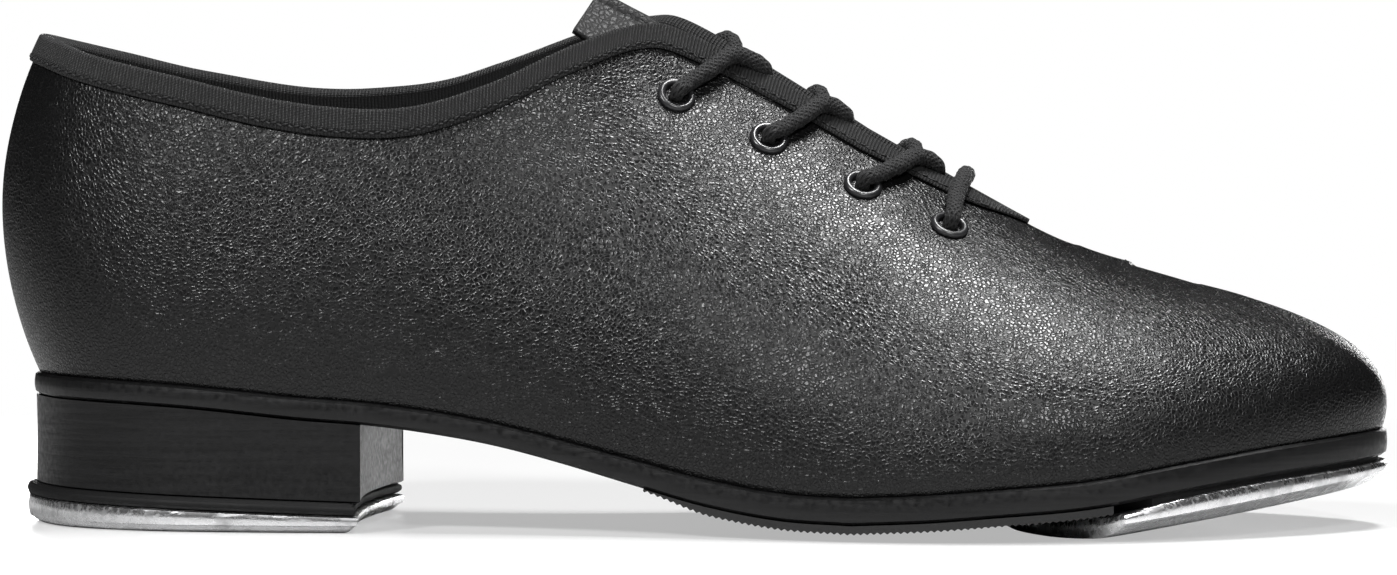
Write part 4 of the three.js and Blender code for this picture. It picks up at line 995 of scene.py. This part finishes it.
def strand(side, row, thick):
    """A strand from the outside of one eyelet over the facing's edge, down between the facings and up
    inside the next eyelet on the other side, as (place, radius) pairs."""
    (from_u, start, start_out), (to_u, end, end_out) = eyelet_at(side, row), eyelet_at(-side, row + 1)
    over = OVER_FACING + thick / 2

    def along(share):
        return mix(abs(from_u), abs(to_u), share)

    up = COMES_UP[row][0 if side > 0 else 1]
    shares = (0.4, 0.62, 0.85) if side > 0 else (0.5, 0.8, 0.95)
    slit = (spot(along(up), 1, 0) + spot(-along(up), 1, 0)) / 2
    lift = unit(outward(np.array(along(up)), np.array(1.0)) + outward(np.array(-along(up)), np.array(1.0)))
    brow = spot(side * along(shares[2] * up), 1, -over + OVER_FACING)
    brow = brow + unit(slit - spot(side * along(shares[2] * up), 1, 0)) * BROW_REACH
    rim = spot(-side * along(up + 0.08), 0.99, LACE_DEPTH + 0.2)
    return [
        (start + start_out * OVER_EYELET, PRESSED * thick / 2),
        (spot(side * along(0.16 * up), 0.84, -0.9 * thick / 2), 0.94 * thick / 2),
        (spot(side * along(shares[0] * up), 0.9, -over + 0.25), thick / 2),
        (spot(side * along(shares[1] * up), 0.985, -over), thick / 2),
        (brow, 0.9 * thick / 2),
        (slit - lift * 2.2, PULLED),
        (mix(rim, slit - lift * LACE_DEPTH, 0.45), PULLED),
        (spot(-side * along(up + 0.16), 0.93, LACE_DEPTH), PULLED),
        (end - end_out * LACE_DEPTH, PULLED),
        (end - end_out, PULLED),
    ]


def tucked_end(side):
    """Where the lace ends under a facing and its tip begins."""
    return spot(side * 8, 0.53, LACE_DEPTH)


def half_lacing(side, thick):
    """From one tucked end down to the lowest eyelet."""
    _, top, out = eyelet_at(side, 0)
    places = [tucked_end(side), spot(side * 8.4, 0.66, LACE_DEPTH), top - out * LACE_DEPTH, top - out]
    points = [(place, PULLED) for place in places]
    for row in range(ROWS - 1):
        points += strand(side * (-1) ** row, row, thick)
    return points


def lace_points(thick):
    """The whole lace: down one side, across the bar below the lowest crossing, and up the other."""
    near, far = eyelet_at(1, ROWS - 1), eyelet_at(-1, ROWS - 1)
    over = OVER_FACING + thick / 2

    def bar(side, v, lift):
        return spot(side * (abs(near[0]) - 0.03), v, -over - lift)

    bars = [bar(-1, 0.9, -0.3), bar(-1, 0.99, 0.1), bar(1, 0.99, 0.1), bar(1, 0.9, -0.3)]
    across = [(far[1] + far[2] * OVER_EYELET, PRESSED * thick / 2)]
    across += [(place, thick / 2) for place in bars]
    across += [(near[1] + near[2] * OVER_EYELET, PRESSED * thick / 2)]
    return half_lacing(1, thick) + across + half_lacing(-1, thick)[::-1]


def tongue_arch(u, depth, across):
    """The tongue's cross-section at a rib: its sides lie under the facings, and between them it arches
    over the instep. Across runs from 1 at the outer side to -1 at the inner one."""
    side, q = np.where(across >= 0, 1.0, -1.0), np.abs(across)
    sides = skin(side * u, mix(ARCH_FOOT, 0.7, np.clip((q - ARCH_SHARE) / (1 - ARCH_SHARE), 0, 1)), depth)
    p, r = skin(u, ARCH_FOOT + 0 * u, depth), skin(-u, ARCH_FOOT + 0 * u, depth)
    gap = np.linalg.norm(p - r, axis=-1, keepdims=True)
    share = np.clip(q / ARCH_SHARE, 0, 1)[..., None]
    crest = (p + r) / 2 + gap * (0, 0, 0.22)
    bridge = mix(crest, np.where(side[..., None] > 0, p, r), share)
    bridge = bridge + gap * 0.2 * share * (1 - share) * (0, 0, 1)
    return np.where(q[..., None] > ARCH_SHARE, sides, bridge)


def tongue_points(depth):
    """Rows up the tongue: held under the lacing, then rising out of the opening, then bent back."""
    across = np.linspace(1, -1, 73)
    held = np.linspace(12, TONGUE_TOP_RIB, 90)
    u, q = np.meshgrid(held, across, indexing="ij")
    low = tongue_arch(u, np.full_like(u, depth), q)
    length = np.linspace(0.4, NECK + TIP, 64)[:, None]
    narrowed = across * (1 - 0.2 * length / (NECK + TIP))
    top_rib = np.full_like(narrowed, TONGUE_TOP_RIB)
    start = tongue_arch(top_rib, np.full_like(narrowed, depth), narrowed)
    one = np.array([[TONGUE_TOP_RIB]])
    crest = tongue_arch(one, one * 0 + TONGUE_DEPTH, one * 0)
    neck = smooth_min(length, NECK)
    travel = ((crest + NECK_RISE * neck[..., None] - start) @ TIP_RISE) / (NECK_RISE @ TIP_RISE)
    high = start + travel[..., None] * NECK_RISE + (length - neck)[..., None] * TIP_RISE
    points = np.concatenate([low, high])
    for _ in range(4):
        points[:, 1:-1] = (points[:, :-2] + 2 * points[:, 1:-1] + points[:, 2:]) / 4
        points[1:-1] = (points[:-2] + 2 * points[1:-1] + points[2:]) / 4
    return points


def smooth_min(a, limit, over=3):
    """The smaller of a and limit, rounded over so many millimetres where they cross."""
    h = np.clip((over - np.abs(a - limit)) / over, 0, 1)
    return np.minimum(a, limit) - h * h * over / 4


class TAPSHOE_OT_eyelets(Operator):
    """Rolled metal eyelets, four up each facing"""

    bl_idname = "tap_shoe.eyelets"
    bl_label = "Eyelets"

    def execute(self, context):
        turn = np.linspace(0, np.pi, 12)
        rolled = list(zip(3.12 + 0.78 * np.cos(turn), 0.12 + 0.75 * np.sin(turn)))
        inner = [(3.6, -3.75), (3.55, -3.95), (2.9, -4.1), (2.5, -3.9)]
        profile = [(2.72, 0.0), (3.9, -0.05)] + rolled + inner[::-1] + [(2.72, -3.7)]
        points, quads = merged([turned(profile, centre, out) for _, centre, out in EYELETS])
        piece = make_piece("eyelets", points, quads, LOOKS["eyelet_metal"], weld=0.001, sharp=50)
        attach(piece, "rearfoot")
        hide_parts(*(f"eyelet_{side}_{i}" for side in ("lateral", "medial") for i in range(1, 5)))
        return {"FINISHED"}


class TAPSHOE_OT_lace(Operator):
    """Round braided lace, crosswise through the eyelets, with both tipped ends tucked in"""

    bl_idname = "tap_shoe.lace"
    bl_label = "Lace"

    def execute(self, context):
        route = lace_points(context.scene.tap_shoe.lace)
        places, radii = [p for p, _ in route], [r for _, r in route]
        piece = braided("lace_cord", places, radii, LOOKS["lace_braid"])
        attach(piece, "rearfoot")
        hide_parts("lace")
        for name, side in (("lateral", 1), ("medial", -1)):
            end = tucked_end(side)
            down = unit(spot(side * 7.6, 0.25, LACE_DEPTH + 4.5) - end)
            line = [end - down * 0.5, end + down * 7, end + down * 14, end + down * 20.9]
            tip = braided(f"aglet_{name}", line, [1.45, 1.3, 1.3, 1.2], LOOKS["aglet_plastic"], relief=0.0)
            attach(tip, "rearfoot")
            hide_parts(f"lace_aglet_{name}")
        return {"FINISHED"}


class TAPSHOE_OT_tongue(Operator):
    """Leather tongue under the lacing, whose end stands above the facings and bends back"""

    bl_idname = "tap_shoe.tongue"
    bl_label = "Tongue"

    def execute(self, context):
        points = tongue_points(TONGUE_DEPTH)
        piece = make_piece("tongue_leather", points, quads_of(*points.shape[:2]),
                           LOOKS["tongue_leather"], closed=False, sharp=180)
        thicken(piece, 1.3)
        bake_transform(piece)
        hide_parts("tongue", "tongue_tip")
        return {"FINISHED"}


# ---- Sole, heel and taps ----


def rounded(inset, drop, width):
    """How much a face falls back towards its rim: drop at the rim, and nothing at width from it."""
    return drop * (1 - smooth(0, width, inset)) ** 2


class TAPSHOE_OT_sole(Operator):
    """Leather outsole from toe to heel, and the ribbed rubber under the ball"""

    bl_idname = "tap_shoe.sole"
    bl_label = "Outsole and rubber"

    def execute(self, context):
        sizes = context.scene.tap_shoe

        def over(x, y, inset):
            return seat(x) + 0.25 - rounded(inset, 0.6, 1.2)

        def under(x, y, inset):
            return underside(x) + rounded(inset, 0.7, 1.4)

        piece = slab("outsole", whole_plan(0.8), under, over, LOOKS["sole_leather"], bulge=0.2, rows=7)
        bend_at_ball(piece)
        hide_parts("outsole_rear", "outsole_front")

        def tread_under(x, y, inset):
            teeth = np.abs((x / sizes.tread_pitch) % 1 - 0.5) * 2
            return underside(x) - GAP - mix(0.3, 1.5, smooth(TREAD_BACK, 8, x)) + 0.45 * teeth

        def tread_over(x, y, inset):
            return underside(x) - 0.03 + 0 * inset

        tread = slab("ball_rubber", tread_plan(0.4), tread_under, tread_over, LOOKS["tread_rubber"],
                     rows=3, sharp=35)
        bend_at_ball(tread)
        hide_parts("ball_tread_rear", "ball_tread_front")
        return {"FINISHED"}


class TAPSHOE_OT_heel(Operator):
    """Heel block with its hollow breast, and the thin pad that stands out of it"""

    bl_idname = "tap_shoe.heel"
    bl_label = "Heel"

    def execute(self, context):
        def block_over(x, y, inset):
            return underside(x) - 0.03 + 0 * inset

        def block_under(x, y, inset):
            return heel_tap_top(x) + 2.53 + rounded(inset, 0.3, 0.6)

        block = slab("heel_leather", heel_plan(0.6, 0), block_under, block_over, LOOKS["sole_leather"],
                     bulge=-0.15, rows=9)
        pad = slab("heel_fibre", heel_plan(2.3, 1),
                   lambda x, y, i: heel_tap_top(x) + 0.15 + rounded(i, 0.5, 0.9),
                   lambda x, y, i: heel_tap_top(x) + 2.5 - rounded(i, 0.7, 1.4),
                   LOOKS["fibre_board"], bulge=0.2)
        for piece, slot, node in ((block, "sole_leather", "heel_block"), (pad, "fibre_board", "heel_pad")):
            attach(piece, "rearfoot")
            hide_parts(node)
        return {"FINISHED"}


SCREWS = {  # (x, y, height) of each screw's head, 0.25 above the tap's underside
    "toe": [(79.98006, -29, 0.5692), (80.97759, 31, 0.65399), (121.96171, 4, 6.7958)],
    "heel": [(-80, -20, 0.25), (-80, 19, 0.25), (-120, 0, 0.25)],
}
SCREW_HOLE = [(0, -4), (3.5, -4), (3.5, 0.35), (1.8, 2.1), (1.8, 14), (0, 14)]  # (radius, height)


def countersink(piece, places, sloped):
    """Cuts the screw holes: a straight mouth, a cone for the head and a bore for the shank."""
    for i, place in enumerate(places):
        slope = tap_under(place[0] + 0.5) - tap_under(place[0] - 0.5) if sloped else 0
        axis = unit(np.array([-slope, 0, 1.0]))
        cutter = make_piece(f"hole_{i}", *turned(SCREW_HOLE, np.array(place), axis, 40), LOOKS["tap_metal"],
                            weld=0.001)
        cut = piece.modifiers.new("Hole", "BOOLEAN")
        cut.operation, cut.object, cut.solver = "DIFFERENCE", cutter, "EXACT"
        bpy.context.view_layer.update()
        whole = piece.evaluated_get(bpy.context.evaluated_depsgraph_get())
        drilled = bpy.data.meshes.new_from_object(whole)
        piece.modifiers.clear()
        piece.data = drilled
        bpy.data.objects.remove(cutter)
    piece.data.set_sharp_from_angle(angle=math.radians(35))
    return piece


class TAPSHOE_OT_taps(Operator):
    """Cast metal taps with rounded lower edges and countersunk holes, and the board over the toe tap"""

    bl_idname = "tap_shoe.taps"
    bl_label = "Taps"

    def execute(self, context):
        outline = feather(np.linspace(-TOE, TOE, 900), 0.9)[0]

        def toe_under(x, y, inset):
            edge = inset_in(outline, np.stack([x, y], -1))
            return tap_under(x) + rounded(edge, 2.2, 7) + rounded(inset, 0.3, 0.8)

        def toe_over(x, y, inset):
            return sound_under(x) - GAP - rounded(inset, 0.35, 0.7)

        toe = slab("toe_plate", toe_plan(0.9), toe_under, toe_over, LOOKS["tap_metal"], bulge=0.25, sharp=50)
        countersink(toe, SCREWS["toe"], True)
        board = slab("toe_board", toe_plan(-0.8, -6), lambda x, y, i: sound_under(x) - 0.25,
                     lambda x, y, i: underside(x) - 0.05, LOOKS["fibre_board"], rows=3)
        heel = slab("heel_plate", heel_plan(2.1, 0.5), lambda x, y, i: rounded(i, 1.6, 3.2),
                    lambda x, y, i: heel_tap_top(x) - rounded(i, 0.35, 0.8), LOOKS["tap_metal"],
                    bulge=0.2, sharp=50)
        countersink(heel, SCREWS["heel"], False)
        for piece, body, slot, node in ((toe, "forefoot", "tap_metal", "toe_tap"),
                                        (board, "forefoot", "fibre_board", "toe_soundboard"),
                                        (heel, "rearfoot", "tap_metal", "heel_tap")):
            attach(piece, body)
            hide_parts(node)
        return {"FINISHED"}


class TAPSHOE_OT_inner_parts(Operator):
    """Finishes for the parts that keep their frame shape: board, cork, shank, stiffeners, nails, screws"""

    bl_idname = "tap_shoe.inner_parts"
    bl_label = "Inner parts"

    def execute(self, context):
        for part in frame["record"]["subparts"]:
            mesh = frame["nodes"][part["node"]].data
            mesh.materials.clear()
            mesh.materials.append(LOOKS[part["material_slot"]])
        return {"FINISHED"}


# ---- Stage ----

FLOOR_REACH = 6  # metres from the middle to each edge
CAMERA_LENS, CAMERA_SHIFT = 152.6, 0.0054
CAMERA_PLACE = (0.10372, -1.18547, 0.09)  # metres
CAMERA_TURN, CAMERA_PITCH = 5, 2.047  # degrees


class TAPSHOE_OT_stage(Operator):
    """Pale glossy floor, soft lights and the camera"""

    bl_idname = "tap_shoe.stage"
    bl_label = "Stage"

    def execute(self, context):
        scene = context.scene
        floor_look, tree, shader = shader_of("pale_floor", Roughness=0.3, Specular_IOR_Level=0.35)
        seen = tree.nodes.new("ShaderNodeLightPath").outputs["Is Camera Ray"]
        coloured(tree, shader, seen, (0.5, 0.5, 0.5, 1), (0.66, 0.66, 0.66, 1))
        glow = node_of(tree, "ShaderNodeEmission", {"Color": (1, 1, 1, 1), "Strength": 1.0})
        away = node_of(tree, "ShaderNodeVectorMath", {0: object_place(tree)}, operation="LENGTH")
        share = maths(tree, "MULTIPLY", ranged(tree, away.outputs["Value"], 0.16, 0.42, 0.45, 1.0), seen)
        fade = node_of(tree, "ShaderNodeMixShader", {0: share, 1: shader.outputs[0], 2: glow.outputs[0]})
        tree.links.new(fade.outputs[0], tree.nodes["Material Output"].inputs["Surface"])
        mesh = bpy.data.meshes.new("floor")
        far = FLOOR_REACH
        mesh.from_pydata([(-far, -far, 0), (far, -far, 0), (far, far, 0), (-far, far, 0)], [], [(0, 1, 2, 3)])
        mesh.materials.append(floor_look)
        floor = bpy.data.objects.new("floor", mesh)
        scene.collection.objects.link(floor)
        for name, place, aim, size, power in LIGHTS:
            lamp = bpy.data.lights.new(name, "AREA")
            lamp.shape, lamp.size, lamp.size_y, lamp.energy = "RECTANGLE", size[0], size[1], power
            holder = bpy.data.objects.new(name, lamp)
            holder.location = place
            holder.rotation_euler = (Vector(aim) - Vector(place)).to_track_quat("-Z", "Y").to_euler()
            scene.collection.objects.link(holder)
        world = bpy.data.worlds.new("studio")
        world.use_nodes = True
        tree, sky = world.node_tree, world.node_tree.nodes["Background"].inputs
        seen = tree.nodes.new("ShaderNodeLightPath").outputs["Is Camera Ray"]
        feed(tree, sky["Strength"], ranged(tree, seen, 0.0, 1.0, scene.tap_shoe.ambient, 1.0))
        feed(tree, sky["Color"], (1, 1, 1, 1))
        scene.world = world
        scene.view_settings.view_transform = "Standard"
        camera = bpy.data.cameras.new("camera")
        camera.sensor_width = 36
        camera.lens = CAMERA_LENS
        camera.shift_x = CAMERA_SHIFT
        holder = bpy.data.objects.new("camera", camera)
        turn, pitch = math.radians(CAMERA_TURN), math.radians(CAMERA_PITCH)
        x, y, height = CAMERA_PLACE
        holder.location = (x + SHIFT[0] * MM, y + SHIFT[1] * MM, height)
        holder.rotation_euler = (math.pi / 2 - pitch, 0, turn)
        scene.collection.objects.link(holder)
        scene.camera = holder
        return {"FINISHED"}


LIGHTS = [
    # name, place, aim, size, power
    ("front_left", (-0.6, -0.95, 0.95), (-0.08, 0, 0.06), (0.2, 0.18), 17),
    ("front_right", (0.52, -1.05, 0.8), (0.05, 0, 0.05), (0.1, 0.16), 9),
    ("top_soft", (0.3, 0.05, 1.25), (0.08, 0, 0.03), (0.6, 0.18), 28),
    ("toe_side", (0.42, 1.25, 0.2), (0.1, 0, 0.04), (0.12, 0.35), 1.6),
    ("heel_side", (-0.42, 1.25, 0.22), (-0.1, 0, 0.05), (0.12, 0.35), 1.6),
]


# ---- Settings, panel and registration ----


class TapShoeSettings(PropertyGroup):
    """Sizes a user would change, in millimetres, and lighting."""

    leather: FloatProperty(name="Leather", description="Thickness of the upper, mm", default=UPPER,
                           min=0.6, max=2)
    lace: FloatProperty(name="Lace", description="Diameter of the lace, mm", default=3.6, min=2, max=5)
    binding: FloatProperty(name="Binding", description="Width of the binding, mm",
                           default=BINDING_WIDTH, min=3, max=8)
    tread_pitch: FloatProperty(name="Rubber ribs", description="Distance between ribs, mm", default=1.3,
                               min=0.8, max=3)
    ambient: FloatProperty(name="Ambient", description="Strength of the light from all round", default=0.01,
                           min=0, max=2)


class TapShoeColours(PropertyGroup):
    """Colours of the finishes."""

    leather: FloatVectorProperty(name="Leather", description="Grained leather", subtype="COLOR",
                                 default=(0.004, 0.004, 0.0042), min=0, max=1)
    sole: FloatVectorProperty(name="Sole", description="Sole and heel edges, rubber and pad", subtype="COLOR",
                              default=(0.004, 0.004, 0.0042), min=0, max=1)
    fabric: FloatVectorProperty(name="Fabric", description="Binding, thread and lace", subtype="COLOR",
                                default=(0.006, 0.006, 0.0063), min=0, max=1)
    lining: FloatVectorProperty(name="Lining", description="Woven lining", subtype="COLOR",
                                default=(0.008, 0.008, 0.0084), min=0, max=1)
    tap: FloatVectorProperty(name="Taps", description="Cast metal", subtype="COLOR",
                             default=(0.82, 0.82, 0.83), min=0, max=1)


PIECES = [
    TAPSHOE_OT_inner_parts, TAPSHOE_OT_upper, TAPSHOE_OT_lining, TAPSHOE_OT_binding, TAPSHOE_OT_eyelets,
    TAPSHOE_OT_lace, TAPSHOE_OT_tongue, TAPSHOE_OT_sole, TAPSHOE_OT_heel, TAPSHOE_OT_taps, TAPSHOE_OT_stage,
]


class TAPSHOE_PT_panel(Panel):
    """Lists the pieces and their settings"""

    bl_idname = "TAPSHOE_PT_panel"
    bl_label = "Tap Shoe"
    bl_space_type = "VIEW_3D"
    bl_region_type = "UI"
    bl_category = "Tap Shoe"

    def draw(self, context):
        layout = self.layout
        for settings in (context.scene.tap_shoe, context.scene.tap_shoe_colours):
            for name in settings.__annotations__:
                layout.prop(settings, name)
        for piece in PIECES:
            layout.operator(piece.bl_idname)


CLASSES = [TapShoeSettings, TapShoeColours, *PIECES, TAPSHOE_PT_panel]


def register():
    for item in CLASSES:
        bpy.utils.register_class(item)
    bpy.types.Scene.tap_shoe = PointerProperty(type=TapShoeSettings)
    bpy.types.Scene.tap_shoe_colours = PointerProperty(type=TapShoeColours)


def unregister():
    del bpy.types.Scene.tap_shoe_colours
    del bpy.types.Scene.tap_shoe
    for item in reversed(CLASSES):
        bpy.utils.unregister_class(item)


def main():
    register()
    LOOKS.update(make_looks(bpy.context.scene.tap_shoe_colours))
    for piece in PIECES:
        group, name = piece.bl_idname.split(".")
        getattr(getattr(bpy.ops, group), name)()


if __name__ == "__main__":
    main()
